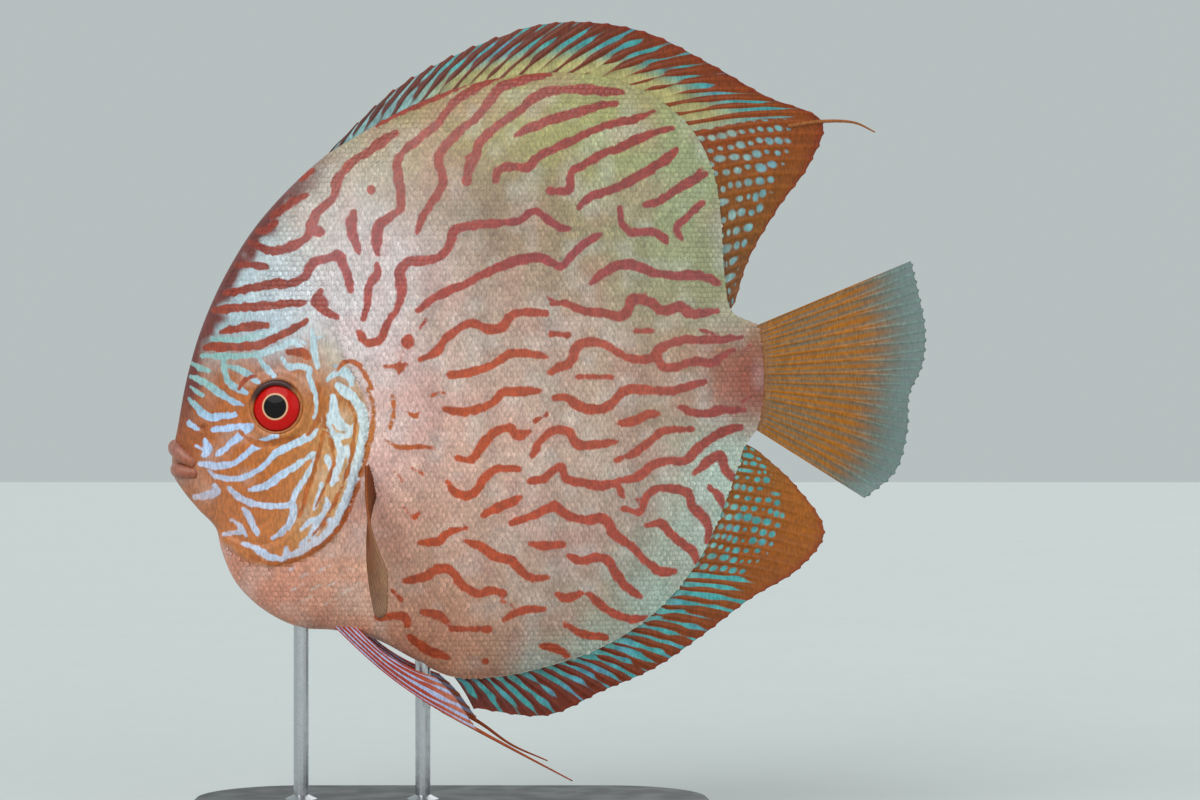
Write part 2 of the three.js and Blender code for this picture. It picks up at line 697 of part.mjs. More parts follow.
export default fish;
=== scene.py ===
import math

import bpy
import numpy as np
from bpy.props import FloatProperty, FloatVectorProperty, IntProperty, PointerProperty
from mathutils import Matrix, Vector


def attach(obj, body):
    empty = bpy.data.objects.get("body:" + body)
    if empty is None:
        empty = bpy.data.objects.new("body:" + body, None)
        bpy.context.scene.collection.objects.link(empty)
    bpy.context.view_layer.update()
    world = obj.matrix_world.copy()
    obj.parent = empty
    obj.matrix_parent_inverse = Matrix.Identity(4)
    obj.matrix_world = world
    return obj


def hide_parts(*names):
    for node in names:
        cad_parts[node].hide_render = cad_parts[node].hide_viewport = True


bl_info = {
    "name": "Discus fish",
    "version": (1, 0, 0),
    "blender": (4, 5, 0),
    "location": "View3D > Sidebar > Discus",
    "description": "Dresses the solids of a discus fish on its stand",
    "category": "Object",
}

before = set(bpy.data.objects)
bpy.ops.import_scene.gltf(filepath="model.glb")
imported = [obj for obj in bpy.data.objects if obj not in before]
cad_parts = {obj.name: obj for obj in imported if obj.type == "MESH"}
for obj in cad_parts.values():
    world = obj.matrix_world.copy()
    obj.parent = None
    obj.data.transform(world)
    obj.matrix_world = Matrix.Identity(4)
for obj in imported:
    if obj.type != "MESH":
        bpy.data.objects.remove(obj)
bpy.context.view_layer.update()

# Frame: the fish's plane is XZ; its left side faces -Y. Lengths in metres.
MM = 0.001
FISH_X = -27.0 * MM
FISH_Z = 95.3 * MM

# The photograph's frame, 1200 x 800: metres per pixel on the fish's plane, and the pixel at its middle
METRES_PER_PIXEL = 0.212 * MM
FISH_PIXEL = (420.0, 385.0)
PHOTO_CENTRE = (600.0, 400.0)
PHOTO_WIDTH = 1200
CAMERA_DISTANCE = 0.7
SENSOR = 36.0
CAMERA_X = FISH_X + (PHOTO_CENTRE[0] - FISH_PIXEL[0]) * METRES_PER_PIXEL
CAMERA_Z = FISH_Z + (FISH_PIXEL[1] - PHOTO_CENTRE[1]) * METRES_PER_PIXEL

# Edge of the body, [back, up] in millimetres from the middle of the body
FOREHEAD = [(-52.4, -15.1), (-51.3, -9.1), (-49.4, 1.1), (-46.2, 12.1), (-40.7, 24.2), (-33.5, 35.2)]
DORSAL_ROOT = [
    (-21.0, 47.7), (-12.1, 53.4), (-2.1, 58.9), (8.5, 63.0), (20.1, 65.5), (31.8, 66.1), (42.4, 64.4),
    (51.3, 60.0), (58.1, 53.4), (62.1, 45.2), (63.8, 35.0), (64.4, 24.4), (66.2, 15.4),
]
TAIL_ROOT = [(71.4, 12.5), (72.5, 7.0), (72.9, 1.5), (72.5, -4.0), (71.4, -9.3)]
ANAL_ROOT = [
    (69.0, -12.4), (67.0, -18.6), (64.0, -26.6), (60.0, -35.5), (54.3, -43.5), (46.6, -50.7),
    (37.5, -56.0), (27.6, -59.4), (17.0, -61.7), (6.6, -61.7),
]
BELLY = [(-1.1, -58.1), (-9.5, -53.8), (-18.0, -51.9), (-25.4, -51.3), (-32.9, -47.7), (-38.8, -42.0)]
THROAT = [(-42.0, -35.0), (-43.2, -30.3), (-46.9, -26.3), (-50.2, -22.3), (-52.2, -18.9)]
DORSAL_MARGIN = [
    (-16.9, 51.9), (-4.7, 63.4), (8.9, 71.0), (24.4, 76.3), (36.0, 77.0), (48.6, 74.6), (61.4, 68.2),
    (73.6, 61.2), (85.6, 55.8), (83.1, 47.3), (76.3, 37.7), (70.0, 26.9), (66.9, 17.6),
]
ANAL_MARGIN = [
    (72.3, -14.4), (79.9, -21.4), (85.9, -31.2), (80.6, -38.8), (70.4, -45.2), (60.0, -53.2),
    (49.8, -60.2), (39.2, -64.9), (27.1, -70.2), (11.4, -68.7),
]
TAIL_MARGIN = [
    (104.5, 26.5), (106.0, 19.7), (107.3, 11.7), (106.6, 4.2), (103.9, -2.1), (103.5, -10.0),
    (101.1, -18.4), (94.6, -24.2),
]
DORSAL_THREAD = [(78.0, 0.1, 54.9), (85.2, 0.1, 55.9), (92.2, 0.1, 55.6), (96.5, 0.1, 53.6)]

# Body thickness, as in the solids, and the degrees over which the fins' roots end above and begin below
CROWN = 13.4
CROWN_AT = -10
CROWN_FALL = 0.0012
SNOUT_FROM = -38
SNOUT_FALL = 0.02
RIM_FIN = 1.2
RIM_SOFT = 0.7
SECTION_POWER = 2.2
POWER_BARE = 0.52
POWER_FINNED = 0.78
FINS_END_ABOVE = (108, 128)
FINS_BEGIN_BELOW = (-98, -82)

# Lines on the head
NAPE_SEAM = [(-36.0, 46.0), (-31.4, 38.2), (-25.4, 27.6), (-20.1, 15.9), (-15.3, 5.7)]
GILL_EDGE = [
    (-10.6, -3.2), (-10.4, -10.6), (-11.9, -18.0), (-14.0, -24.8), (-16.3, -30.7), (-20.8, -34.8),
    (-25.9, -37.3), (-31.8, -38.4), (-36.5, -36.9), (-40.7, -34.1), (-44.0, -31.5),
]
CHEEK_EDGE = [
    (-41.5, -31.0), (-36.5, -32.9), (-32.2, -33.6), (-27.9, -31.4), (-25.0, -26.9), (-22.5, -20.1),
    (-20.9, -11.7), (-20.2, -3.2), (-17.4, 3.6),
]
EYE_AT = (-29.3, -4.6)
EYE_SHOWN = 5.4
EYE_WIDEST = 6.2
EYE_DEPTH = 3.3
EYE_BULGE = 1.5
NOSTRIL_AT = (-45.2, -9.1)

# Relief of the head in millimetres: rises and depths of its forms
COVER_RISE = 0.55
GROOVE_DEPTH = 0.35
SLIT_DEPTH = 0.35
SOCKET_DEPTH = 1.2
ORBIT_RISE = 0.55
ORBIT_FURROW = 0.25
NOSTRIL_DEPTH = 0.9
NOSTRIL_RIM = 0.3
FOLD_HEIGHT = 0.12

TINY = 1e-9
EDGE_POINTS = 1440
LATTICE = 64


# Curves and fields

def unit(vectors):
    """Vectors of length one."""
    return vectors / np.maximum(np.linalg.norm(vectors, axis=-1, keepdims=True), TINY)


def centripetal(stations, count, closed=False):
    """Points of a centripetal Catmull-Rom curve, evenly spread over its stations."""
    points = np.array(stations, float)
    n = len(points)
    spans = n if closed else n - 1
    share = np.linspace(0, spans, count, endpoint=not closed)
    cell = np.minimum(share.astype(int), spans - 1)
    t = (share - cell)[:, None]
    if closed:
        p0, p1, p2, p3 = (points[(cell + k) % n] for k in (-1, 0, 1, 2))
    else:
        padded = np.vstack([2 * points[0] - points[1], points, 2 * points[-1] - points[-2]])
        p0, p1, p2, p3 = (padded[cell + k] for k in (0, 1, 2, 3))

    def knot(a, b):
        return np.maximum(np.linalg.norm(b - a, axis=1, keepdims=True) ** 0.5, TINY)

    d0, d1, d2 = knot(p0, p1), knot(p1, p2), knot(p2, p3)
    m1 = ((p1 - p0) / d0 - (p2 - p0) / (d0 + d1) + (p2 - p1) / d1) * d1
    m2 = ((p2 - p1) / d1 - (p3 - p1) / (d1 + d2) + (p3 - p2) / d2) * d1
    return ((2 * t ** 3 - 3 * t ** 2 + 1) * p1 + (t ** 3 - 2 * t ** 2 + t) * m1
            + (3 * t ** 2 - 2 * t ** 3) * p2 + (t ** 3 - t ** 2) * m2)


def smoothstep(low, high, value):
    """0 at the first bound, 1 at the second, smooth between them."""
    t = np.clip((value - low) / (high - low), 0, 1)
    return t * t * (3 - 2 * t)


BODY_EDGE = centripetal(FOREHEAD + DORSAL_ROOT + TAIL_ROOT + ANAL_ROOT + BELLY + THROAT,
                        EDGE_POINTS, closed=True)
EDGE_ANGLE = np.arctan2(BODY_EDGE[:, 1], BODY_EDGE[:, 0])
EDGE_ORDER = np.argsort(EDGE_ANGLE)
SORTED_ANGLE = EDGE_ANGLE[EDGE_ORDER]
SORTED_RADIUS = np.hypot(BODY_EDGE[:, 0], BODY_EDGE[:, 1])[EDGE_ORDER]


def edge_share(x, z):
    """How far out from the middle of the body to its edge a place lies, 0 to 1."""
    radius = np.interp(np.arctan2(z, x), SORTED_ANGLE, SORTED_RADIUS, period=2 * math.pi)
    return np.hypot(x, z) / radius


def half_thickness(share, x, z):
    """Half of the body's thickness in millimetres, as the solids have it."""
    angle = np.degrees(np.arctan2(z, x))
    finned = (1 - smoothstep(*FINS_END_ABOVE, angle)) * smoothstep(*FINS_BEGIN_BELOW, angle)
    rim = RIM_SOFT + (RIM_FIN - RIM_SOFT) * finned
    power = POWER_BARE + (POWER_FINNED - POWER_BARE) * finned
    snout = np.maximum(0, SNOUT_FROM - x)
    crown = CROWN - CROWN_FALL * (x - CROWN_AT) ** 2 - SNOUT_FALL * snout ** 2
    return rim + (crown - rim) * (1 - np.minimum(share, 1) ** SECTION_POWER) ** power


def lattice_noise(x, y, size, seed):
    """Smooth seeded noise from -1 to 1 with features of the given size."""
    random = np.random.default_rng(seed)
    table = random.uniform(-1, 1, (LATTICE, LATTICE))
    fx, fy = np.asarray(x) / size, np.asarray(y) / size
    ix, iy = np.floor(fx).astype(int), np.floor(fy).astype(int)
    tx, ty = smoothstep(0, 1, fx - ix), smoothstep(0, 1, fy - iy)
    near, far = (ix % LATTICE, iy % LATTICE), ((ix + 1) % LATTICE, (iy + 1) % LATTICE)
    low = table[near[0], near[1]] + (table[far[0], near[1]] - table[near[0], near[1]]) * tx
    high = table[near[0], far[1]] + (table[far[0], far[1]] - table[near[0], far[1]]) * tx
    return low + (high - low) * ty


def line_distance(x, z, line):
    """Distance in millimetres from places to a line, signed: positive behind or below it."""
    best = np.full(np.shape(x), np.inf)
    signed = np.zeros(np.shape(x))
    for (ax, az), (bx, bz) in zip(line[:-1], line[1:]):
        dx, dz = bx - ax, bz - az
        t = np.clip(((x - ax) * dx + (z - az) * dz) / (dx * dx + dz * dz), 0, 1)
        distance = np.hypot(x - ax - t * dx, z - az - t * dz)
        side = np.sign(dx * (z - az) - dz * (x - ax))
        closer = distance < best
        best = np.where(closer, distance, best)
        signed = np.where(closer, distance * side, signed)
    return signed


def mottled(px, py, layers):
    """Brightness that varies about 1, from layers of noise: size, strength and seed."""
    shade = 1
    for size, strength, seed in layers:
        shade = shade + strength * lattice_noise(px, py, size, seed)
    return shade


SEAM_LINE = centripetal(NAPE_SEAM + GILL_EDGE, 60)
GILL_LINE = centripetal(NAPE_SEAM[-1:] + GILL_EDGE, 50)
CHEEK_LINE = centripetal(CHEEK_EDGE, 40)


# Markings, as strokes in the photograph's pixels. A slash ends a stroke, and a number alone before
# its first point is its half width.
FIELD_LOW = (140, -10)
FIELD_SIZE = (800, 830)
FAR = 12.0
STROKE_STEPS = 4
STROKE_TAPER = 0.35
STROKE_SWELL = 0.2
SPOT_LENGTH = 0.01
STRIPE_HALF = 4.6
HEAD_LINE_HALF = 3.5
BAND_COLUMNS = (430, 487, 556, 640)
BAND_WIDTH = 10
BAND_SHADE = 0.14
PINK = "#C47E7A"
SILVER = "#D6DAD8"
RIM_BROWN = "#70302A"
SKIN_MOTTLE = ((9, 0.09, 31), (3.4, 0.08, 32))

STRIPES = """
396,133 380,143 362,156 346,168 336,184 334,196 318,212 311,224 306,237 293,246 272,251 260,247 250,242 /
300,179 313,170 / 308,195 295,200 283,209 272,217 / 275,222 265,230 257,231 / 267,267 250,265 237,265 /
351,291 349,281 344,268 339,255 329,258 313,263 306,275 293,283 272,284 252,288 234,292 224,293 / 304,303
288,304 267,306 247,307 224,309 214,310 / 267,325 252,326 234,329 221,332 / 306,321 293,329 278,337 260,344
242,347 221,347 206,347 / 288,352 303,353 308,357 / 321,291 315,303 336,317 / 6.2 354,212 351,224 354,237
359,251 / 377,125 403,109 420,102 451,89 469,79 489,64 / 377,253 377,240 380,224 390,217 400,209 401,199
399,179 397,163 405,150 420,138 436,125 446,112 454,102 469,92 489,79 507,71 533,61 / 417,232 423,217
433,201 442,186 442,173 438,158 446,145 461,130 479,115 489,102 499,89 517,82 550,74 / 466,181 469,168
476,158 478,145 489,133 505,120 520,110 535,97 551,91 576,89 602,91 622,92 / 515,135 530,128 551,120 576,113
602,105 617,103 / 496,182 499,171 515,166 528,167 538,157 556,148 576,139 597,129 612,124 633,120 653,112 /
551,191 569,189 571,173 587,163 602,154 620,148 638,139 653,133 673,128 / 579,207 592,196 612,190 633,179
653,168 668,158 676,150 / 645,205 659,201 675,191 690,182 706,174 / 681,239 676,229 687,217 702,203 /
620,209 622,224 630,232 653,232 663,237 666,242 / 591,283 602,274 618,265 634,265 652,272 675,276 698,275
719,283 / 377,265 377,275 369,286 367,304 363,319 / 359,332 367,343 380,339 387,324 396,311 401,296 401,281
401,270 411,261 430,260 444,253 451,241 453,231 469,226 499,223 519,221 529,213 538,212 547,219 561,228
570,229 / 418,311 432,299 446,292 464,285 480,276 499,267 519,260 538,257 551,262 561,267 574,253 591,239
600,235 / 421,359 434,354 444,341 455,331 471,323 487,329 503,327 512,315 529,312 547,313 / 448,375 464,373
480,370 496,363 510,354 529,354 547,357 / 551,304 566,303 583,311 607,313 620,317 629,308 632,299 648,301
664,311 680,306 689,313 717,311 / 551,334 568,335 / 636,331 653,331 / 577,377 611,377 / 535,421 547,414 /
549,373 561,366 570,363 577,345 591,342 607,345 620,354 634,359 652,358 662,347 687,340 721,340 742,337 /
659,357 662,366 675,367 696,361 712,363 721,357 733,350 / 444,409 460,412 478,409 492,403 503,393 522,391
540,391 / 554,398 568,398 577,405 591,409 607,407 616,398 625,390 643,390 671,391 689,386 705,382 / 620,423
634,421 648,414 659,414 / 680,407 698,414 721,410 744,410 / 457,458 471,460 485,442 499,430 510,428 517,435
529,432 / 533,455 542,439 556,430 568,432 577,444 595,445 616,442 / 616,461 634,453 650,441 664,431 692,429
/ 620,481 639,476 653,465 669,461 685,461 698,448 717,435 731,429 742,427 / 448,482 454,492 466,496 477,490
484,479 497,469 519,469 / 529,481 543,479 556,468 561,466 566,478 584,483 602,486 616,483 622,496 / 694,474
708,462 721,455 724,467 734,478 744,480 / 622,508 640,512 645,498 655,489 673,489 688,493 693,508 703,516
709,529 707,542 / 647,526 660,523 668,531 680,542 693,552 696,562 / 709,487 719,496 724,508 / 484,515
497,508 512,502 520,497 / 512,523 535,515 555,506 568,516 586,520 604,519 614,534 629,544 645,560 660,571
675,572 / 530,544 545,546 563,544 / 420,543 438,541 448,533 466,528 / 466,541 482,547 494,556 512,561
520,571 533,578 547,577 / 568,556 581,561 596,557 609,562 617,575 627,588 642,597 / 405,581 426,576 443,568
453,573 461,584 480,594 490,590 504,594 / 423,612 438,615 447,622 / 451,629 489,629 / 504,620 520,611
545,609 / 377,617 406,617 408,626 / 409,636 426,649 447,658 / 557,594 568,598 581,593 / 588,594 602,606
614,613 632,619 645,618 / 566,625 583,634 606,637 / 541,646 555,648 568,656 / 2.2 326,398 325,415 323,432
319,452 313,472 308,488 303,505 299,517 / 2.4 366,388 372,400 374,414 371,434 366,456 360,478 352,502
341,524 326,542 306,555 287,562 268,563 250,556 / 2.6 742,402 751,396 / 2.2 744,350 752,344 / 3 336,372
345,362 358,364 366,376 372,388 / 2 340,397 350,404 355,418 354,440 350,462 343,484 334,504 323,524 310,538
/ 2 325,424 331,440 334,458 330,476 322,494 314,510 / 2.4 402,352 399,374 / 2.4 392,395 394,412 390,428 /
2.2 406,412 417,416 421,410 / 2.2 386,440 400,448 420,446 436,449 / 2.4 384,366 396,366 408,364 / 2.2
402,506 414,518 420,512 / 2.2 412,468 424,474 / 2.4 430,396 444,392 / 2 394,470 402,482 / 3 466,158 476,152
/ 3 560,305 548,298 / 2.6 700,330 716,334 / 3 690,180 702,168 / 2.6 636,300 648,292 / 2.6 500,600 512,606 /
2.6 600,560 612,566 / 2.2 420,328 426,320 / 2.6 636,498 642,508 / 2.6 392,590 402,600 / 2.6 238,389 246,380
256,376 / 2.6 240,431 250,440 264,444 280,442 298,436 / 2.6 316,382 320,396 318,420 308,434
"""
STRIPE_SPOTS = "371,190,5 408,342,7 400,368,5 486,661,4 319,232,6 321,303,8 551,191,5 466,181,5"
HEAD_LINES = """
213,339 239,340 257,336 276,330 / 201,356 219,356 239,356 261,354 278,348 292,342 302,348 / 261,360 267,369
274,376 / 282,358 288,367 300,366 308,369 310,379 316,393 318,405 314,417 / 312,330 314,350 318,366 /
223,360 225,373 229,383 239,389 247,393 / 229,366 243,371 253,379 258,383 / 191,363 201,368 209,371 /
192,377 205,383 217,391 229,399 243,405 / 191,387 202,395 / 189,399 199,409 209,417 221,416 235,415 /
188,423 197,429 / 213,430 229,428 249,425 / 217,455 229,445 241,435 251,426 / 206,441 208,449 204,455 /
200,464 217,466 233,464 245,455 257,445 276,436 / 217,476 233,479 249,475 263,466 276,453 292,445 308,437
318,429 / 250,490 265,486 280,476 296,466 314,453 / 229,488 243,500 261,505 278,506 290,504 296,492 308,474
316,458 / 273,538 284,530 292,518 294,506 / 243,508 251,520 257,534 / 215,486 217,492 203,496 195,497 /
223,534 243,532 / 243,543 257,549 269,557 284,559 286,547 / 5.4 294,554 312,547 328,534 340,516 349,494
357,470 362,446 364,424 360,408 350,396 338,386 / 3.6 300,545 311,536 320,520 328,504 / 4.6 333,396 334,410
340,424 349,430 / 4.6 336,440 341,452 338,468 332,484 / 3 346,446 350,462 345,480 / 3 322,520 312,530 / 2.6
326,498 332,510 / 2.2 334,366 346,370 354,378 / 2 312,340 322,336 / 2 296,338 306,344 / 2.4 232,520 240,526
246,536 / 2 208,470 216,478 / 2 196,446 206,452 / 1.3 286,572 297,566 / 1.3 300,578 312,571 / 1.3 292,590
304,583 / 1.3 308,592 321,584 / 1.3 318,572 330,565 / 1.3 326,588 338,580 / 1.3 300,602 312,596 / 1.3
336,598 348,590 / 1.3 322,606 333,599 / 1.3 340,575 351,568 / 1.3 350,590 361,582 / 1.3 330,556 341,550 /
328,415 332,435 348,435 354,425 / 326,456 332,468 338,480 / 322,484 318,498 314,510 / 302,530 312,520
332,520 / 328,379 336,373 350,377 352,385
"""


def read_strokes(text, half_width):
    """Strokes from x,y pairs; a stroke may start with a half width of its own."""
    strokes = []
    for stroke in text.split("/"):
        parts = stroke.split()
        half = half_width if "," in parts[0] else float(parts.pop(0))
        strokes.append((half, np.array([[float(v) for v in pair.split(",")] for pair in parts])))
    return strokes


def stamp(field, a, b, radii):
    """Lower a field to its distance from one piece of a stroke, with a radius at each end."""
    reach = FAR + max(radii) + 1
    x0, y0 = np.maximum(np.minimum(a, b) - reach - FIELD_LOW, 0).astype(int)
    x1, y1 = np.minimum(np.maximum(a, b) + reach - FIELD_LOW + 2, FIELD_SIZE).astype(int)
    if x1 <= x0 or y1 <= y0:
        return
    gx, gy = np.meshgrid(np.arange(x0, x1) + FIELD_LOW[0] - a[0], np.arange(y0, y1) + FIELD_LOW[1] - a[1])
    dx, dy = b - a
    t = np.clip((gx * dx + gy * dy) / max(dx * dx + dy * dy, TINY), 0, 1)
    distance = np.hypot(gx - t * dx, gy - t * dy) - (radii[0] + (radii[1] - radii[0]) * t)
    field[y0:y1, x0:x1] = np.minimum(field[y0:y1, x0:x1], distance)


def stroke_field(strokes, seed, spots=()):
    """Signed distance in pixels to the nearest stroke or spot, on a grid of one pixel."""
    field = np.full(FIELD_SIZE[::-1], FAR)
    for number, (half_width, stroke) in enumerate(strokes):
        line = stroke
        if len(stroke) > 2:
            line = centripetal(stroke, (len(stroke) - 1) * STROKE_STEPS + 1)
        count = len(line)
        share = np.linspace(0, 1, count)
        ends = np.clip(np.minimum(share, 1 - share) * count / STROKE_STEPS, 0, 1)
        swell = 1 + STROKE_SWELL * lattice_noise(line[:, 0] + 37 * number, line[:, 1], 22, seed)
        radius = half_width * swell * (1 - STROKE_TAPER * (1 - ends))
        for i in range(count - 1):
            stamp(field, line[i], line[i + 1], radius[i:i + 2])
    for x, y, radius in spots:
        stamp(field, np.array([x, y]), np.array([x + SPOT_LENGTH, y]), (radius, radius))
    return field


def sample_field(field, px, py):
    """A field's value at places in the photograph's pixels."""
    fx = np.clip(px - FIELD_LOW[0], 0, FIELD_SIZE[0] - 1.001)
    fy = np.clip(py - FIELD_LOW[1], 0, FIELD_SIZE[1] - 1.001)
    ix, iy = fx.astype(int), fy.astype(int)
    tx, ty = fx - ix, fy - iy
    top = field[iy, ix] * (1 - tx) + field[iy, ix + 1] * tx
    low = field[iy + 1, ix] * (1 - tx) + field[iy + 1, ix + 1] * tx
    return top * (1 - ty) + low * ty


FAR_SIDE_SHIFT = 7
FAR_SIDE_WAVE = 70


def photo_pixels(points):
    """Where places on the model fall in the photograph, each side seen as the near one."""
    depth = CAMERA_DISTANCE - np.abs(points[:, 1])
    scale = CAMERA_DISTANCE / depth / METRES_PER_PIXEL
    px = PHOTO_CENTRE[0] + (points[:, 0] - CAMERA_X) * scale
    py = PHOTO_CENTRE[1] - (points[:, 2] - CAMERA_Z) * scale
    away = np.where(points[:, 1] > 0, FAR_SIDE_SHIFT, 0)
    px = px + away * lattice_noise(px, py, FAR_SIDE_WAVE, 21)
    py = py + away * lattice_noise(px, py, FAR_SIDE_WAVE, 22)
    return px, py


def linear(hex_colour):
    """An sRGB hex colour as linear red, green and blue."""
    value = hex_colour.lstrip("#")
    rgb = np.array([int(value[i:i + 2], 16) / 255 for i in (0, 2, 4)])
    return np.where(rgb <= 0.04045, rgb / 12.92, ((rgb + 0.055) / 1.055) ** 2.4)


def toward(tone, colour, weight):
    """A tone moved towards a hex colour by a weight for each point."""
    return tone + (linear(colour) - tone) * weight[:, None]


def read_places(text):
    """Places of colour from groups of x, y, reach and hex colour."""
    places = [group.split(",") for group in text.split()]
    return [(float(x), float(y), float(reach), linear(colour)) for x, y, reach, colour in places]


def blend_places(px, py, places):
    """Colour that runs smoothly between a few places."""
    total = np.zeros((len(px), 3))
    weight = np.zeros(len(px))
    for x, y, reach, colour in places:
        w = np.exp(-((px - x) ** 2 + (py - y) ** 2) / (2 * reach ** 2)) + TINY
        total += w[:, None] * colour
        weight += w
    return total / weight[:, None]


# Tones at places in the photograph's pixels, each with its reach
BODY_TONES = read_places("""
430,135,42,A48C5C 520,105,42,A49A5E 610,125,42,A09E64 680,185,42,9CA47A 370,165,34,B4A88E 340,215,34,BEB0A6
372,225,28,C0B0B4 405,195,26,AE9078 480,205,32,8E7860 350,300,34,D2CACC 410,260,36,D2BAB6 520,250,42,AA8C74
590,245,36,988A64 680,270,45,989A72 372,345,26,DCCACA 395,385,34,DEBAB4 470,330,45,C6A898 570,340,48,BFA08E
660,370,45,A88A70 732,380,26,902A14 385,440,34,E8BCB4 450,440,45,DAAC9A 550,440,50,D0AE9C 650,450,45,AC9884
720,470,30,A8BCAC 410,540,40,D6A48C 340,590,36,E6A88E 280,585,34,D68E74 500,540,50,CBA592 600,540,50,B0968A
715,470,20,C9DDD4 694,545,20,BFDDD2 655,600,20,B9D8CE 595,650,20,BAD6CA 540,668,16,A8C0B4 680,550,36,A0B09C
440,630,38,CF8E70 540,630,42,AE8E78 630,610,36,9CA68E
""")
HEAD_TONES = read_places("""
320,170,22,9FA89A 285,205,24,B2BEBC 255,245,24,B0C0C4 235,290,24,B6C8D0 300,235,26,C6C6C6 290,290,26,CBD0D6
330,300,24,D4D0D0 215,335,20,8FAFB4 270,338,20,A8BCC8 350,350,20,C0B4A0 208,365,18,A0551F 250,375,20,B4601C
300,368,16,BA6A2A 205,405,20,A85A26 245,410,20,B8641F 325,400,18,B8681F 190,440,18,9C5228 230,450,24,C26A24
290,450,24,C87A34 235,500,22,C0703A 275,490,22,B86420 345,430,20,D09C64 340,480,20,D6A878 315,520,20,CE945C
270,550,18,C47438 180,468,10,A8664A 200,495,14,B87450 225,535,16,C0703A
""")
STRIPE_TONES = read_places("""
360,180,50,9A3A24 470,140,60,9C3C2A 600,120,60,96382A 350,240,30,A04448 420,300,45,A24240 560,230,50,984044
680,280,55,96403C 450,380,60,BC5024 600,380,60,AC4A30 725,390,30,8E3430 450,540,60,C24E22 600,520,60,AE4632
700,500,40,A0463A 250,260,40,8E3222 240,330,30,9A3C20 500,640,60,B04A2C 320,450,40,B4601A 280,550,40,B8642A
360,420,30,C07A2C
""")
LINE_TONES = read_places("""
215,370,24,8FB8B4 250,430,26,A9C4F0 240,470,30,C2D6F4 300,430,30,BCDAEC 340,440,30,DCE4E2 340,500,30,D4DEEC
270,545,30,C0CEE8 215,510,24,C9B0B4 320,350,30,BCD2DA 322,585,26,E6C6B4
""")
FIN_TONES = read_places("""
360,125,30,64342F 430,85,36,6E3428 510,45,36,763420 590,35,36,78341A 660,70,36,8A3A16 720,90,36,92400F
790,122,34,9A480A 770,190,34,965208 745,240,30,844E14 732,290,24,84502C 480,700,50,66281E 580,690,50,722A14
680,630,45,803A0E 760,560,40,8E4A08 800,515,30,A05808 755,470,28,8C5418
""")


# Meshes

def fish_points(x, y, z):
    """Metres in the model's frame from millimetres in the fish's own plane."""
    return np.column_stack([FISH_X + x * MM, y * MM, FISH_Z + z * MM])


def grid_points(grid):
    """Metres in the model's frame from any grid of places in millimetres."""
    flat = grid.reshape(-1, 3)
    return fish_points(flat[:, 0], flat[:, 1], flat[:, 2])


def new_piece(name, points, faces, material, smooth=True):
    """A mesh object from points and faces, with its material."""
    mesh = bpy.data.meshes.new(name)
    mesh.from_pydata([tuple(p) for p in points], [], [tuple(f) for f in faces])
    mesh.update()
    mesh.polygons.foreach_set("use_smooth", np.full(len(mesh.polygons), smooth))
    mesh.materials.append(material)
    piece = bpy.data.objects.new(name, mesh)
    bpy.context.scene.collection.objects.link(piece)
    return piece


def paint(piece, name, values):
    """A float or colour attribute on a piece's points."""
    values = np.asarray(values, float)
    if values.ndim == 1:
        piece.data.attributes.new(name, "FLOAT", "POINT").data.foreach_set("value", values)
        return
    colours = np.column_stack([values, np.ones(len(values))]).ravel()
    piece.data.attributes.new(name, "FLOAT_COLOR", "POINT").data.foreach_set("color", colours)


def unwrap(piece, places):
    """The OFBake map from one place for each point."""
    layer = piece.data.uv_layers.new(name="OFBake")
    loops = np.empty(len(piece.data.loops), int)
    piece.data.loops.foreach_get("vertex_index", loops)
    layer.data.foreach_set("uv", np.asarray(places)[loops].ravel())


MAP_LOW = (-54, -88)
MAP_SIZE = (165, 168)
MAP_MARGIN = (0.01, 0.02)
MAP_SPAN = (0.48, 0.96)


def side_map(x, z, right):
    """A place on the skin's unwrap: the left side fills the left half of the map."""
    u = MAP_MARGIN[0] + MAP_SPAN[0] * (np.asarray(x) - MAP_LOW[0]) / MAP_SIZE[0] + 0.5 * np.asarray(right)
    v = MAP_MARGIN[1] + MAP_SPAN[1] * (np.asarray(z) - MAP_LOW[1]) / MAP_SIZE[1]
    return np.column_stack([u, v])


def grid_faces(columns, rows, start=0, closed=False, ring=False, flip=False):
    """Quads of a grid whose points run row by row within each column; a ring's rows close too."""
    c, r = np.meshgrid(np.arange(columns if closed else columns - 1),
                       np.arange(rows if ring else rows - 1), indexing="ij")
    c, r = c.ravel(), r.ravel()
    n, m = (c + 1) % columns, (r + 1) % rows
    quads = np.column_stack([c * rows + r, n * rows + r, n * rows + m, c * rows + m]) + start
    return list(quads[:, ::-1] if flip else quads)


def swept(line, first, second, sides):
    """A closed tube along a line, from its section's two half axes at each point."""
    turn = np.linspace(0, 2 * math.pi, sides, endpoint=False)[:, None, None]
    rings = line + np.cos(turn) * first + np.sin(turn) * second
    rows = len(line)
    faces = grid_faces(sides, rows, closed=True)
    faces.append([k * rows for k in range(sides)][::-1])
    faces.append([k * rows + rows - 1 for k in range(sides)])
    return grid_points(rings), faces


def forehead_rim(px, py, points):
    """1 along the dark edge of the forehead, 0 elsewhere, with a ragged border."""
    x, z = (points[:, 0] - FISH_X) / MM, (points[:, 2] - FISH_Z) / MM
    ragged = 0.035 * lattice_noise(px, py, 11, 37)
    rim = smoothstep(0.9, 0.965, edge_share(x, z) + ragged)
    return rim * smoothstep(-14, -30, x) * smoothstep(-14, 0, z)


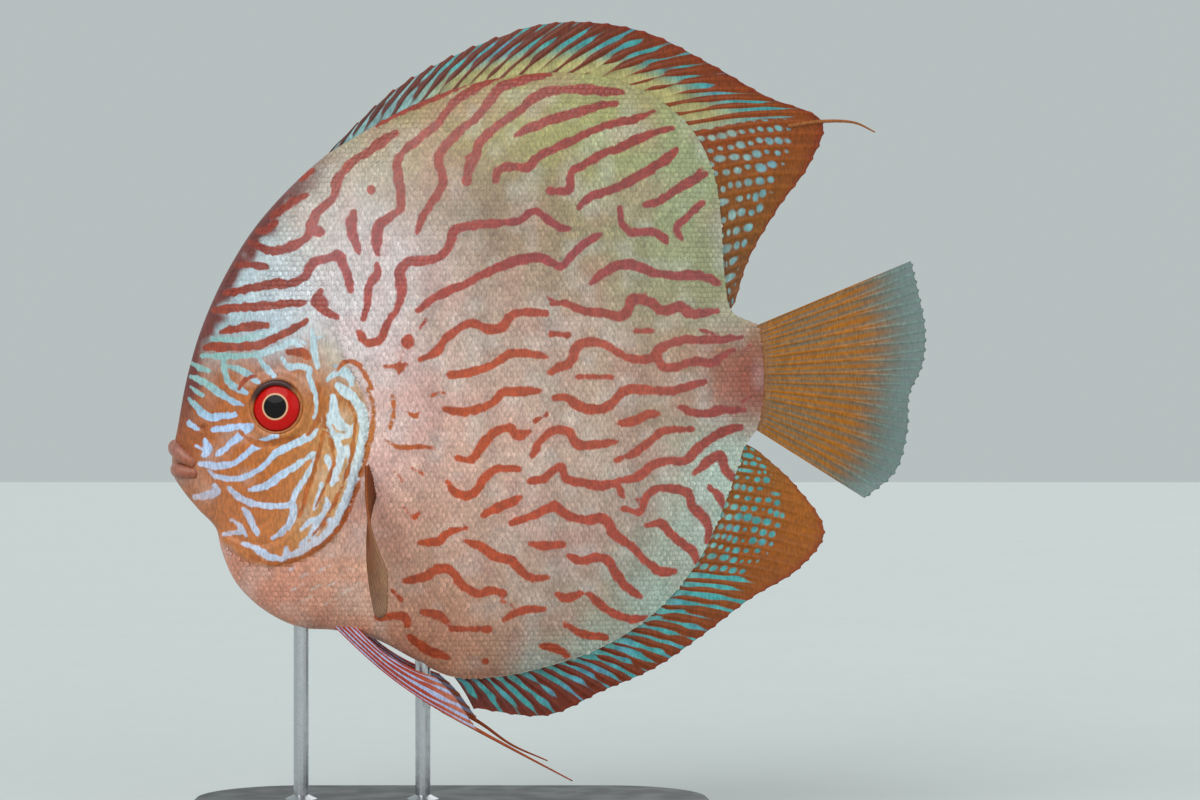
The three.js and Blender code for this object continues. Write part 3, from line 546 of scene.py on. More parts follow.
def dark_bands(px, py):
    """Faint upright bands on the flank."""
    wander = 7 * lattice_noise(px, py, 60, 38)
    down = smoothstep(130, 230, py) * smoothstep(650, 560, py)
    shade = sum(np.exp(-((px + wander - column) / BAND_WIDTH) ** 2) for column in BAND_COLUMNS)
    return 1 - BAND_SHADE * shade * down


def paint_bare(piece, tone):
    """Paint a piece of skin that has no markings."""
    for name in ("tone", "stripe_tone", "line_tone"):
        paint(piece, name, tone)
    for name in ("stripe", "line"):
        paint(piece, name, np.full(len(tone), FAR))


class Markings:
    """Fields of stripes and pale head lines, for the whole fish."""

    def __init__(self):
        spots = [tuple(float(v) for v in group.split(",")) for group in STRIPE_SPOTS.split()]
        self.stripes = stroke_field(read_strokes(STRIPES, STRIPE_HALF), 3, spots)
        self.lines = stroke_field(read_strokes(HEAD_LINES, HEAD_LINE_HALF), 4)

    def paint_skin(self, piece, points, head, shade=1):
        """Tones and signed distances on a piece of skin; head is 1 on the head, 0 behind it; shade
        multiplies the tone, and on the scales it carries their painted shade and highlight.
        """
        px, py = photo_pixels(points)
        body_tone = blend_places(px, py, BODY_TONES)
        tone = body_tone + (blend_places(px, py, HEAD_TONES) - body_tone) * head[:, None]
        tone = toward(tone, PINK, 0.3 * np.clip(lattice_noise(px, py, 27, 35), 0, 1) * (1 - head))
        tone = toward(tone, SILVER, 0.25 * np.clip(lattice_noise(px, py, 19, 36), 0, 1))
        tone = toward(tone, RIM_BROWN, forehead_rim(px, py, points))
        # The tone is multiplied by mottle, the flank's bands and shade, which on the scales is their painted
        # shade and highlight.
        mottle = mottled(px, py, SKIN_MOTTLE) * dark_bands(px, py) * shade
        paint(piece, "tone", np.clip(tone * mottle[:, None], 0, 1))
        worn = 1 + 0.22 * lattice_noise(px * 2.0, py * 0.8, 7, 39)
        paint(piece, "stripe_tone", np.clip(blend_places(px, py, STRIPE_TONES) * worn[:, None], 0, 1))
        paint(piece, "line_tone", blend_places(px, py, LINE_TONES))
        ragged = 0.9 * lattice_noise(px, py, 5, 33) + 1.1 * lattice_noise(px * 2.4, py * 0.7, 6, 34)
        paint(piece, "stripe", sample_field(self.stripes, px, py) + ragged)
        paint(piece, "line", sample_field(self.lines, px, py) + 0.9 * ragged)


MARKINGS = Markings()


# Materials

class Nodes:
    """Adds nodes to a tree and joins them."""

    def __init__(self, tree):
        self.tree = tree

    def add(self, kind, inputs=None, **settings):
        node = self.tree.nodes.new(kind)
        for name, value in settings.items():
            setattr(node, name, value)
        for name, value in (inputs or {}).items():
            self.put(node.inputs[name], value)
        return node

    def put(self, socket, value):
        """Link or set a socket."""
        if isinstance(value, bpy.types.NodeSocket):
            self.tree.links.new(value, socket)
        else:
            socket.default_value = value

    def math(self, operation, a, b=0.0):
        """One sum, as a socket."""
        node = self.add("ShaderNodeMath", operation=operation)
        self.put(node.inputs[0], a)
        self.put(node.inputs[1], b)
        return node.outputs[0]

    def mix(self, factor, a, b, blend="MIX"):
        """Two colours mixed, as a socket."""
        node = self.add("ShaderNodeMix", data_type="RGBA", blend_type=blend)
        self.put(node.inputs["Factor"], factor)
        self.put(node.inputs["A"], a)
        self.put(node.inputs["B"], b)
        return next(s for s in node.outputs if s.type == "RGBA")

    def ramp(self, value, low, high, to_low=0.0, to_high=1.0):
        """A smooth step from one range to another, as a socket."""
        node = self.add("ShaderNodeMapRange", interpolation_type="SMOOTHSTEP")
        for name, amount in (("Value", value), ("From Min", low), ("From Max", high),
                             ("To Min", to_low), ("To Max", to_high)):
            self.put(node.inputs[name], amount)
        return node.outputs["Result"]

    def attribute(self, name, output="Fac"):
        return self.add("ShaderNodeAttribute", attribute_name=name).outputs[output]

    def noise(self, vector, scale, detail=3.0):
        inputs = {"Scale": scale, "Detail": detail, "Vector": vector}
        return self.add("ShaderNodeTexNoise", inputs).outputs["Fac"]


def new_group(name, inputs, outputs):
    """A shader node group with named sockets: (name, kind, default)."""
    group = bpy.data.node_groups.new(name, "ShaderNodeTree")
    for socket, kind, default in inputs:
        made = group.interface.new_socket(socket, in_out="INPUT", socket_type=kind)
        made.default_value = default
    for socket, kind in outputs:
        group.interface.new_socket(socket, in_out="OUTPUT", socket_type=kind)
    nodes = Nodes(group)
    return group, nodes, nodes.add("NodeGroupInput"), nodes.add("NodeGroupOutput")


def marked_group():
    """Ground colour with stripes and pale lines laid on it by their signed distances."""
    group, n, source, sink = new_group(
        "Marked skin", [("Softness", "NodeSocketFloat", 1.0)], [("Colour", "NodeSocketColor")])
    soft = source.outputs["Softness"]
    hard = n.math("MULTIPLY", soft, -1.0)
    colour = n.attribute("tone", "Color")
    for name in ("line", "stripe"):
        marked = n.ramp(n.attribute(name), soft, hard)
        colour = n.mix(marked, colour, n.attribute(f"{name}_tone", "Color"))
    n.put(sink.inputs["Colour"], colour)
    return group


def mottle_group():
    """Fine uneven colour, gloss and height, as of wet skin."""
    group, n, source, sink = new_group(
        "Wet mottle",
        [("Colour", "NodeSocketColor", (1, 1, 1, 1)), ("Size", "NodeSocketFloat", 900.0),
         ("Depth", "NodeSocketFloat", 0.15), ("Gloss", "NodeSocketFloat", 0.38)],
        [("Colour", "NodeSocketColor"), ("Roughness", "NodeSocketFloat"), ("Height", "NodeSocketFloat")],
    )
    place = n.add("ShaderNodeTexCoord").outputs["Object"]
    grain = n.add("ShaderNodeVectorMath", {0: place, 1: (2.0, 1.0, 0.7)}, operation="MULTIPLY").outputs[0]
    fine = n.noise(grain, source.outputs["Size"], 4.0)
    broad = n.noise(place, n.math("MULTIPLY", source.outputs["Size"], 0.22), 2.0)
    bright = n.ramp(fine, 0.32, 0.68, 0.78, 1.2)
    grey = n.add("ShaderNodeCombineColor", {"Red": bright, "Green": bright, "Blue": bright})
    uneven = n.mix(1.0, source.outputs["Colour"], grey.outputs["Color"], "MULTIPLY")
    n.put(sink.inputs["Colour"], n.mix(source.outputs["Depth"], source.outputs["Colour"], uneven))
    rough = n.math("ADD", source.outputs["Gloss"], n.ramp(broad, 0.3, 0.7, -0.06, 0.1))
    n.put(sink.inputs["Roughness"], rough)
    n.put(sink.inputs["Height"], n.math("ADD", fine, n.math("MULTIPLY", broad, 0.6)))
    return group


def principled(name):
    """A new material with its nodes and shader."""
    material = bpy.data.materials.new(name)
    material.use_nodes = True
    material.node_tree.nodes.clear()
    n = Nodes(material.node_tree)
    shader = n.add("ShaderNodeBsdfPrincipled")
    n.add("ShaderNodeOutputMaterial", {"Surface": shader.outputs["BSDF"]})
    return material, n, shader


def use_mottle(n, shader, group, strength, distance, **values):
    """Give a shader the mottle's colour, roughness and height."""
    mottle = n.add("ShaderNodeGroup", values, node_tree=group)
    n.put(shader.inputs["Base Color"], mottle.outputs["Colour"])
    n.put(shader.inputs["Roughness"], mottle.outputs["Roughness"])
    bump(n, shader, mottle.outputs["Height"], strength, distance)


def bump(n, shader, height, strength, distance):
    """Turn a height into the shader's normal."""
    inputs = {"Height": height, "Strength": strength, "Distance": distance}
    n.put(shader.inputs["Normal"], n.add("ShaderNodeBump", inputs).outputs["Normal"])


def set_finish(shader, **values):
    """Set constant sockets of a shader by name."""
    for name, value in values.items():
        shader.inputs[name.replace("_", " ")].default_value = value


def skin_material(name, groups, gloss, softness, size):
    """Living skin: markings, mottle and a wet coat."""
    material, n, shader = principled(name)
    marked = n.add("ShaderNodeGroup", {"Softness": softness}, node_tree=groups["marked"])
    use_mottle(n, shader, groups["mottle"], 0.25, 0.00012,
               Colour=marked.outputs["Colour"], Size=size, Depth=0.9, Gloss=gloss)
    set_finish(shader, Coat_Weight=0.15, Coat_Roughness=0.22, Subsurface_Weight=0.08,
               Subsurface_Radius=(0.004, 0.0015, 0.001))
    return material


def fin_material(name, groups, alpha=False, gloss=0.42):
    """Fin membrane and rays from their painted tones and streaks."""
    material, n, shader = principled(name)
    streak = n.ramp(n.attribute("streak"), 0.8, -0.8)
    tone = n.mix(streak, n.attribute("tone", "Color"), n.attribute("streak_tone", "Color"))
    use_mottle(n, shader, groups["mottle"], 0.2, 0.0001, Colour=tone, Size=1300.0, Depth=0.9, Gloss=gloss)
    set_finish(shader, Coat_Weight=0.05, Coat_Roughness=0.3, Specular_IOR_Level=0.3)
    if alpha:
        n.put(shader.inputs["Alpha"], n.attribute("alpha"))
    return material


# Where each colour of the eye sets in and is full, as shares of its radius
EYE_COLOURS = ((0.74, 0.86, "#3A0606"), (0.475, 0.435, "#E4B08A"), (0.405, 0.39, "#0B0607"))


def eye_material():
    """A clear wet eye: black pupil, thin gold ring, red iris with fine spokes."""
    material, n, shader = principled("Eye")
    radius = n.attribute("radius")
    place = n.add("ShaderNodeCombineXYZ", {"X": n.attribute("turn"), "Y": n.math("MULTIPLY", radius, 1.5)})
    spokes = n.noise(place.outputs[0], 26.0)
    eye = n.mix(n.ramp(spokes, 0.25, 0.7), (*linear("#9A0200"), 1), (*linear("#E40C02"), 1))
    for low, high, colour in EYE_COLOURS:
        eye = n.mix(n.ramp(radius, low, high), eye, (*linear(colour), 1))
    n.put(shader.inputs["Base Color"], eye)
    set_finish(shader, Roughness=0.5, Specular_IOR_Level=0.1, Coat_Weight=0.25, Coat_Roughness=0.03)
    bump(n, shader, spokes, 0.1, 0.0001)
    return material


def plain_material(name, colour, gloss, metallic, groups, size=600.0, height=0.15, depth=0.12):
    """A made surface: one colour with a fine uneven gloss."""
    material, n, shader = principled(name)
    use_mottle(n, shader, groups["mottle"], height, 0.00005,
               Colour=(*linear(colour), 1), Size=size, Depth=depth, Gloss=gloss)
    set_finish(shader, Metallic=metallic)
    return material


MATERIALS = {}


def build_materials():
    """Make every material once."""
    groups = {"marked": marked_group(), "mottle": mottle_group()}
    MATERIALS["skin"] = skin_material("Skin", groups, 0.4, 0.8, 1100.0)
    MATERIALS["scale"] = skin_material("Scales", groups, 0.36, 1.0, 1500.0)
    MATERIALS["fin"] = fin_material("Fin", groups)
    MATERIALS["clear fin"] = fin_material("Clear fin", groups, alpha=True, gloss=0.35)
    MATERIALS["eye"] = eye_material()
    MATERIALS["base"] = plain_material("Stand plate", "#2A2B2D", 0.42, 0.0, groups)
    MATERIALS["rod"] = plain_material("Stand rod", "#C3C5C8", 0.24, 1.0, groups, 2500.0)
    MATERIALS["floor"] = plain_material("Floor", "#D6DCDB", 0.8, 0.0, groups, 60.0, 0.0, 0.03)


# The skin

def head_weight(x, z):
    """1 on the head, 0 behind the gill cover's edge and the nape."""
    ahead = -line_distance(x, z, SEAM_LINE)
    wide = 0.6 + 5 * smoothstep(4, 14, z)
    return smoothstep(0, 1, 0.5 + 0.5 * ahead / wide)


def relief(x, z):
    """Raised and sunk forms of the head in millimetres."""
    gill = -line_distance(x, z, GILL_LINE)
    near_gill = smoothstep(9, 6, z) * smoothstep(0, 0.5, gill + 0.1)
    cheek = line_distance(x, z, CHEEK_LINE)
    inside = smoothstep(0, 0.8, -cheek)
    cover = COVER_RISE * near_gill * smoothstep(0.0, 0.25, gill) * inside
    groove = -GROOVE_DEPTH * np.exp(-(cheek / 0.5) ** 2) * smoothstep(6, 3, z) * smoothstep(-44, -40, x)
    slit = -SLIT_DEPTH * np.exp(-((gill + 0.35) / 0.4) ** 2) * smoothstep(9, 4, z)
    eye = np.hypot(x - EYE_AT[0], z - EYE_AT[1]) - EYE_SHOWN
    socket = -SOCKET_DEPTH * smoothstep(0.2, -1.2, eye)
    orbit = ORBIT_RISE * np.exp(-((eye - 0.7) / 0.8) ** 2) - ORBIT_FURROW * np.exp(-((eye - 2.6) / 0.8) ** 2)
    nostril = np.hypot(x - NOSTRIL_AT[0], z - NOSTRIL_AT[1])
    hole = -NOSTRIL_DEPTH * np.exp(-(nostril / 0.55) ** 2)
    hole = hole + NOSTRIL_RIM * np.exp(-((nostril - 1.1) / 0.35) ** 2)
    folds = FOLD_HEIGHT * lattice_noise(x, z, 2.6, 41) * head_weight(x, z)
    return cover + groove + slit + socket + orbit + hole + folds


# The skin's grid: where the head begins on the edge, and the rings between the middle and the edge
HEAD_BEFORE = -24
HEAD_ABOVE = -46
INNER_RINGS = (0.03, 0.94)
RIM_RINGS = (0.947, 1)
RIM_COUNT = 14
RELIEF_TO = 0.97
SKIN_SINK = 0.04
THINNEST = 0.25


def rim_columns(head_columns, body_columns):
    """Points round the body's edge, closer to each other on the head."""
    on_head = (BODY_EDGE[:, 0] < HEAD_BEFORE) & (BODY_EDGE[:, 1] > HEAD_ABOVE)
    length = np.linalg.norm(np.roll(BODY_EDGE, -1, axis=0) - BODY_EDGE, axis=1)
    head_length = length[on_head].sum()
    body_length = length[~on_head].sum()
    weight = length * np.where(on_head, head_columns / head_length, body_columns / body_length)
    along = np.concatenate([[0], np.cumsum(weight)])
    wanted = np.linspace(0, along[-1], head_columns + body_columns, endpoint=False)
    closed = np.vstack([BODY_EDGE, BODY_EDGE[:1]])
    return np.column_stack([np.interp(wanted, along, closed[:, k]) for k in (0, 1)])


class DISCUS_PG_skin(bpy.types.PropertyGroup):
    head_columns: IntProperty(name="Head columns", description="Columns of the skin on the head",
                              default=250)
    body_columns: IntProperty(name="Body columns", description="Columns of the skin behind it", default=230)
    rings: IntProperty(name="Rings", description="Rings from the middle to the edge", default=96)


class DISCUS_OT_skin(bpy.types.Operator):
    """Make one skin over head, trunk, gill covers, jaw and tail stalk"""
    bl_idname = "discus.skin"
    bl_label = "Skin"

    def execute(self, context):
        sizes = context.scene.discus_skin
        rim = rim_columns(sizes.head_columns, sizes.body_columns)
        shares = np.concatenate([np.linspace(*INNER_RINGS, sizes.rings - RIM_COUNT),
                                 np.linspace(*RIM_RINGS, RIM_COUNT)])
        columns, rows = len(rim), len(shares)
        x = np.append(np.outer(rim[:, 0], shares), 0)
        z = np.append(np.outer(rim[:, 1], shares), 0)
        share = np.append(np.tile(shares, columns), 0)
        half = half_thickness(share, x, z) + relief(x, z) * smoothstep(1.0, RELIEF_TO, share) - SKIN_SINK
        half = np.maximum(half, THINNEST)
        half[-1] = half_thickness(0.0, 0.0, 0.0)
        points = np.vstack([fish_points(x, -half, z), fish_points(x, half, z)])
        side = len(x)
        faces = []
        for start, turn in ((0, 1), (side, -1)):
            faces += grid_faces(columns, rows, start, closed=True, flip=turn < 0)
            for c in range(columns):
                faces.append((start + side - 1, start + (c + 1) % columns * rows, start + c * rows)[::turn])
        for c in range(columns):
            here, there = c * rows + rows - 1, (c + 1) % columns * rows + rows - 1
            faces.append((side + here, side + there, there, here))
        piece = new_piece("skin", points, faces, MATERIALS["skin"])
        x, z = np.tile(x, 2), np.tile(z, 2)
        MARKINGS.paint_skin(piece, points, head_weight(x, z))
        unwrap(piece, side_map(x, z, np.repeat([0, 1], side)))
        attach(piece, "root")
        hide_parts("trunk", "head", "lower_jaw", "tail_stalk", "gill_cover_left", "gill_cover_right")
        return {"FINISHED"}


# Scales

class DISCUS_PG_scales(bpy.types.PropertyGroup):
    spacing: FloatProperty(name="Spacing", description="From one scale to the next", default=0.00122,
                           unit="LENGTH")
    length: FloatProperty(name="Length", description="Seen and covered length of a scale", default=0.00205,
                          unit="LENGTH")
    width: FloatProperty(name="Width", description="Width of a scale", default=0.00142, unit="LENGTH")
    lift: FloatProperty(name="Lift", description="How far a scale's free edge stands off the skin",
                        default=0.00012, unit="LENGTH")


SCALE_OUTLINE = np.array([
    (-0.5, 0.0), (-0.3, -0.38), (0.1, -0.5), (0.38, -0.34),
    (0.5, 0.0), (0.38, 0.34), (0.1, 0.5), (-0.3, 0.38),
])
SCALE_CORNERS = len(SCALE_OUTLINE)
SCALE_POINTS = SCALE_CORNERS + 2
# Painted shade and highlight of a scale: brightness of its corners, its top and its underside, darker at the
# root and underside and lighter at the rear edge, and which of them may get a painted glint
SCALE_PAINTED_SHADE = np.array((0.8, 0.86, 0.93, 1.06, 1.14, 1.1, 1.0, 0.9, 0.95, 0.8))
REAR_EDGE = np.array((0, 0, 0, 0.8, 1, 0.8, 0, 0, 0, 0))
SCALE_SEED = 61
SCALE_MAP = 0.003
SCALE_EDGE_SINK = 0.05
SCALE_UNDER = 0.08
SCALE_TOP = 0.8
ROW_GAP = 0.86
SCALED_FROM = (-42, -66)
SCALED_SIZE = (140, 135)


def sharpen_rims(piece):
    """Keep each scale's rim crisp, so that its top shades apart from its underside."""
    ends = np.empty(len(piece.data.edges) * 2, int)
    piece.data.edges.foreach_get("vertices", ends)
    sharp = (ends.reshape(-1, 2) % SCALE_POINTS < SCALE_CORNERS).all(axis=1)
    piece.data.attributes.new("sharp_edge", "BOOLEAN", "EDGE").data.foreach_set("value", sharp)


def scale_places(spacing):
    """Staggered rows of places over brow, trunk and tail stalk."""
    row_gap = spacing * ROW_GAP
    r, c = np.meshgrid(np.arange(int(SCALED_SIZE[1] / row_gap)), np.arange(int(SCALED_SIZE[0] / spacing)),
                       indexing="ij")
    x = (SCALED_FROM[0] + (c + 0.5 * (r % 2)) * spacing).ravel()
    z = (SCALED_FROM[1] + r * row_gap).ravel()
    x = x + 0.12 * lattice_noise(x, z, 2.0, 51)
    z = z + 0.12 * lattice_noise(x, z, 2.0, 52)
    share = edge_share(x, z)
    brow = z > 12 + 3 * lattice_noise(x, z, 4, 54)
    behind = line_distance(x, z, SEAM_LINE) > 0.35
    rim = np.where((x > -20) & ((z > 0) | (x > 8)), 0.996, 0.985)
    keep = (share < rim) & (behind | brow)
    return x[keep], z[keep], share[keep]


def flank(x, z):
    """Half of the thickness at places on the flank."""
    return half_thickness(np.minimum(edge_share(x, z), 0.999), x, z)


def scale_faces(count, right):
    """Triangles of all scales, each a fan over its top and one over its underside."""
    fans = []
    for k in range(SCALE_CORNERS):
        n = (k + 1) % SCALE_CORNERS
        a, b = (n, k) if right else (k, n)
        fans += [(a, b, SCALE_CORNERS), (b, a, SCALE_CORNERS + 1)]
    return (np.array(fans) + (np.arange(count) * SCALE_POINTS)[:, None, None]).reshape(-1, 3)


class DISCUS_OT_scales(bpy.types.Operator):
    """Lay the scales over both flanks, each one a thin closed shingle"""
    bl_idname = "discus.scales"
    bl_label = "Scales"

    def execute(self, context):
        sizes = context.scene.discus_scales
        for right, sign in enumerate((-1, 1)):
            self.lay(sizes, right, sign)
        return {"FINISHED"}

    @staticmethod
    def lay(sizes, right, sign):
        """Lay the scales of one side."""
        x, z, share = scale_places(sizes.spacing / MM)
        count = len(x)
        random = np.random.default_rng(SCALE_SEED + right)
        size = random.uniform(0.93, 1.07, count) * (1 - 0.28 * smoothstep(0.75, 1.0, share))
        size = size * (1 - 0.3 * head_weight(x, z))
        a = np.outer(size, SCALE_OUTLINE[:, 0]) * (sizes.length / MM)
        b = np.outer(size, SCALE_OUTLINE[:, 1]) * (sizes.width / MM)
        x, z = x[:, None], z[:, None]
        lie = np.radians(6 * lattice_noise(x, z, 14, 53)) + 0.10 * np.sin(z / 40.0)
        px = np.hstack([x + a * np.cos(lie) - b * np.sin(lie), x, x])
        pz = np.hstack([z + a * np.sin(lie) + b * np.cos(lie), z, z])
        lift = sizes.lift / MM * random.uniform(0.8, 1.2, count)[:, None]
        rise = lift * smoothstep(-0.5, 0.5, SCALE_OUTLINE[:, 0]) - SCALE_EDGE_SINK
        py = flank(px, pz) + np.hstack([rise, SCALE_TOP * lift, np.full((count, 1), -SCALE_UNDER)])
        points = grid_points(np.stack([px, sign * py, pz], axis=2))
        name = "scales_right" if right else "scales_left"
        piece = new_piece(name, points, scale_faces(count, right), MATERIALS["scale"])
        flicker = random.uniform(0.92, 1.08, count)[:, None]
        # Painted highlight: about a third of the scales glint brighter at the rear edge; shade joins it with
        # each scale's painted shade and a random flicker of tone.
        painted_glint = 1 + 0.2 * (random.uniform(size=count) < 0.35)[:, None] * REAR_EDGE
        shade = (flicker * painted_glint * SCALE_PAINTED_SHADE).ravel()
        MARKINGS.paint_skin(piece, points, np.repeat(head_weight(x, z), SCALE_POINTS), shade)
        sharpen_rims(piece)
        spread = np.vstack([SCALE_OUTLINE, np.zeros((2, 2))]) * SCALE_MAP
        roots = side_map(x.ravel(), z.ravel(), right)
        unwrap(piece, np.repeat(roots, SCALE_POINTS, axis=0) + np.tile(spread, (count, 1)))
        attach(piece, "root")


# Fins

PAIRED = {
    "pectoral": {
        "root": [(-10.4, 10.5, -14.6), (-9.0, 10.2, -17.0), (-7.4, 10.0, -19.2)],
        "tips": [(-4.8, 31.5, -38.0), (-5.2, 29.0, -46.5), (-8.0, 21.5, -47.6), (-9.4, 14.5, -38.0)],
        "bow": (-1.6, 2.4, -1.0),
    },
    "pelvic": {
        "root": [(-18.4, 2.0, -50.6), (-16.4, 2.4, -50.2), (-14.2, 2.6, -49.8)],
        "tips": [(12.7, 8.2, -72.7), (10.9, 7.6, -70.0), (7.4, 6.6, -65.2), (3.8, 5.2, -61.7)],
        "bow": (-0.6, 1.6, -1.6),
    },
}
PELVIC_THREAD = {
    "left": [(5.0, 6.6, -68.3), (12.2, 7.8, -72.2), (21.2, 8.6, -77.0), (32.4, 9.0, -82.9)],
    "right": [(5.0, 6.6, -68.3), (12.2, 7.8, -72.2), (19.0, 8.2, -77.0), (26.9, 8.6, -80.6)],
}
MEDIAN = {
    "dorsal": {"root": DORSAL_ROOT, "margin": DORSAL_MARGIN, "per_ray": 8, "bow": 0.035,
               "high": 1.5, "turns": 1.4, "start": 0.1, "length": 22},
    "anal": {"root": ANAL_ROOT, "margin": ANAL_MARGIN, "per_ray": 8, "bow": 0.03,
             "high": 1.3, "turns": 1.2, "start": 0.35, "length": 20},
    "tail": {"root": TAIL_ROOT, "margin": TAIL_MARGIN, "per_ray": 16, "bow": 0.0,
             "high": 1.8, "turns": 0.9, "start": 0.3, "length": 34},
}
MEDIAN_ROWS = 58
ROW_POWER = 0.93
SPINE_NOTCH = 0.9
RAY_NOTCH = 0.35
PAIRED_NOTCH = 0.012
FORK = 0.4
MEMBRANE = 0.34
RAY = 0.95
ROOT_THICK = 2.2
ROOT_REACH = 0.22
TIP_THICK = 0.3
RAY_SHARE = 0.3
ROOT_SINK = 0.7
FIN_MOTTLE = ((6, 0.09, 71), (2.4, 0.07, 72))


def ray_profile(phase, fork=None, share=None):
    """1 on the crest of a ray, 0 on the membrane between two; a forked ray parts in two."""
    distance = np.abs(phase - np.round(phase))
    whole = np.clip(1 - distance / (RAY_SHARE / 2), 0, 1) ** 0.7
    if fork is None:
        return whole
    apart = 0.25 * smoothstep(fork, 1.0, share)
    twin = np.clip(1 - np.abs(distance - apart) / (RAY_SHARE / 3.2), 0, 1) ** 0.7
    return np.where(share < fork, whole, twin)


def closed_fin(middle, thick):
    """Points and faces of a closed fin from its middle surface and thickness, in millimetres."""
    columns, rows = middle.shape[:2]
    normal = unit(np.cross(np.gradient(middle, axis=0), np.gradient(middle, axis=1)))
    points, faces = [], []
    total = columns * rows
    for side, sign in enumerate((-0.5, 0.5)):
        points.append(grid_points(middle + normal * (sign * thick)[..., None]))
        faces += grid_faces(columns, rows, side * total, flip=side == 0)
    rim = [c * rows for c in range(columns)]
    rim += [total - rows + r for r in range(1, rows)]
    rim += [c * rows + rows - 1 for c in range(columns - 2, -1, -1)]
    rim += range(rows - 2, 0, -1)
    faces += [(a, b, b + total, a + total) for a, b in zip(rim, rim[1:] + rim[:1])]
    return np.vstack(points), faces


def fin_thickness(crest, share):
    """Thickness from the root over the rays' crests to the thin margin."""
    top = MEMBRANE + (RAY - MEMBRANE) * crest
    thin = top + (TIP_THICK + 0.15 * crest - top) * share ** 1.6
    return ROOT_THICK + (thin - ROOT_THICK) * np.sqrt(np.minimum(share / ROOT_REACH, 1))


def median_sheet(kind, rays, spines=0, fork=None):
    """Middle surface, thickness, ray phase, share of the ray and crest of a fin on the midline."""
    spec = MEDIAN[kind]
    columns = (rays - 1) * spec["per_ray"] + 1
    start = centripetal(spec["root"], columns)
    along = unit(np.gradient(start, axis=0))
    start = start + np.column_stack([along[:, 1], -along[:, 0]]) * ROOT_SINK
    ray = centripetal(spec["margin"], columns) - start
    length = np.linalg.norm(ray, axis=1)[:, None]
    s = np.linspace(0, 1, columns)[:, None]
    share = np.tile(np.linspace(0, 1, MEDIAN_ROWS) ** ROW_POWER, (columns, 1))
    phase = np.tile(s * (rays - 1), (1, MEDIAN_ROWS))
    crest = ray_profile(phase, fork, share)
    notch = np.where(phase[:, :1] < spines, SPINE_NOTCH, RAY_NOTCH)
    reach = share * (1 - (1 - crest[:, -1:] ** 0.5) * notch / length)
    bend = spec["bow"] * np.sin(math.pi * share)
    flat = start[:, None] + ray[:, None] * reach[..., None]
    flat = flat + np.column_stack([-ray[:, 1], ray[:, 0]])[:, None] * bend[..., None]
    sway = np.sin(2 * math.pi * (spec["turns"] * s + spec["start"])) * spec["high"] * share ** 2
    middle = np.stack([flat[..., 0], sway * length / spec["length"], flat[..., 1]], axis=2)
    return middle, fin_thickness(crest, share), phase, share, crest


def make_fin(name, middle, thick, material, nodes, tone, streak, streak_tone, alpha=None):
    """Build a fin, paint both of its faces from values given for one, and map them side by side."""
    points, faces = closed_fin(middle, thick)
    piece = new_piece(name, points, faces, material)
    px, py = photo_pixels(points)
    mottle = mottled(px, py, FIN_MOTTLE)
    paint(piece, "tone", np.clip(np.tile(tone, (2, 1)) * mottle[:, None], 0, 1))
    paint(piece, "streak_tone", np.tile(streak_tone, (2, 1)))
    paint(piece, "streak", np.tile(streak, 2))
    if alpha is not None:
        paint(piece, "alpha", np.tile(alpha, 2))
    low, high = MAP_MARGIN, (MAP_SPAN[0], 1 - MAP_MARGIN[1])
    u, v = np.meshgrid(np.linspace(low[0], high[0], middle.shape[0]),
                       np.linspace(low[1], high[1], middle.shape[1]), indexing="ij")
    places = np.column_stack([u.ravel(), v.ravel()])
    unwrap(piece, np.vstack([places, places + [0.5, 0]]))
    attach(piece, "root")
    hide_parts(*nodes)


def ray_streaks(phase, share, width, seed):
    """Distance to streaks that run between the rays and break here and there."""
    dash = 0.2 * lattice_noise(phase * 11, share * 26, 5, seed)
    return (np.abs(phase % 1 - 0.5) - width - dash) * 12


def ray_dots(phase, share, count, size, seed):
    """Distance to dots in rows between the rays."""
    number = np.floor(phase)
    row = share * count + 0.5 * (number % 2) + 0.9 * lattice_noise(number * 7, share * 14, 5, seed)
    aside = 0.2 * lattice_noise(number * 3, np.floor(row) * 5, 4, seed + 1)
    grown = 1 + 0.45 * lattice_noise(number * 5, np.floor(row) * 3, 4, seed + 2)
    across = (phase % 1 - 0.5 + aside) / (size[0] * grown)
    along = (row % 1 - 0.5) / (size[1] * grown)
    return (np.hypot(across, along) - 1) * 2.2


def ray_pixels(middle):
    """Length of each ray in the photograph's pixels."""
    return np.linalg.norm(middle[:, -1] - middle[:, 0], axis=1)[:, None] * MM / METRES_PER_PIXEL


def midline_pixels(middle):
    """Where a fin's middle surface falls in the photograph."""
    points = grid_points(middle)
    points[:, 1] = 0
    return photo_pixels(points)


class DISCUS_PG_fins(bpy.types.PropertyGroup):
    dorsal_rays: IntProperty(name="Dorsal rays", description="Spines and soft rays of the dorsal fin",
                             default=40)
    dorsal_spines: IntProperty(name="Dorsal spines", description="How many of them are spines", default=9)
    anal_rays: IntProperty(name="Anal rays", description="Spines and soft rays of the anal fin", default=37)
    tail_rays: IntProperty(name="Tail rays", description="Forked rays of the tail fin", default=14)
    pectoral_rays: IntProperty(name="Pectoral rays", description="Rays of each pectoral fin", default=11)
    pelvic_rays: IntProperty(name="Pelvic rays", description="Rays of each pelvic fin", default=6)
    streak_colour: FloatVectorProperty(name="Streaks", description="Turquoise of the streaks and dots",
                                       subtype="COLOR", default=tuple(linear("#459C9C")))


OCHRE = "#A66200"
SKY = "#7496C2"
THREAD_RADIUS = 0.5
THREAD_POINTS = 40
THREAD_SIDES = 12


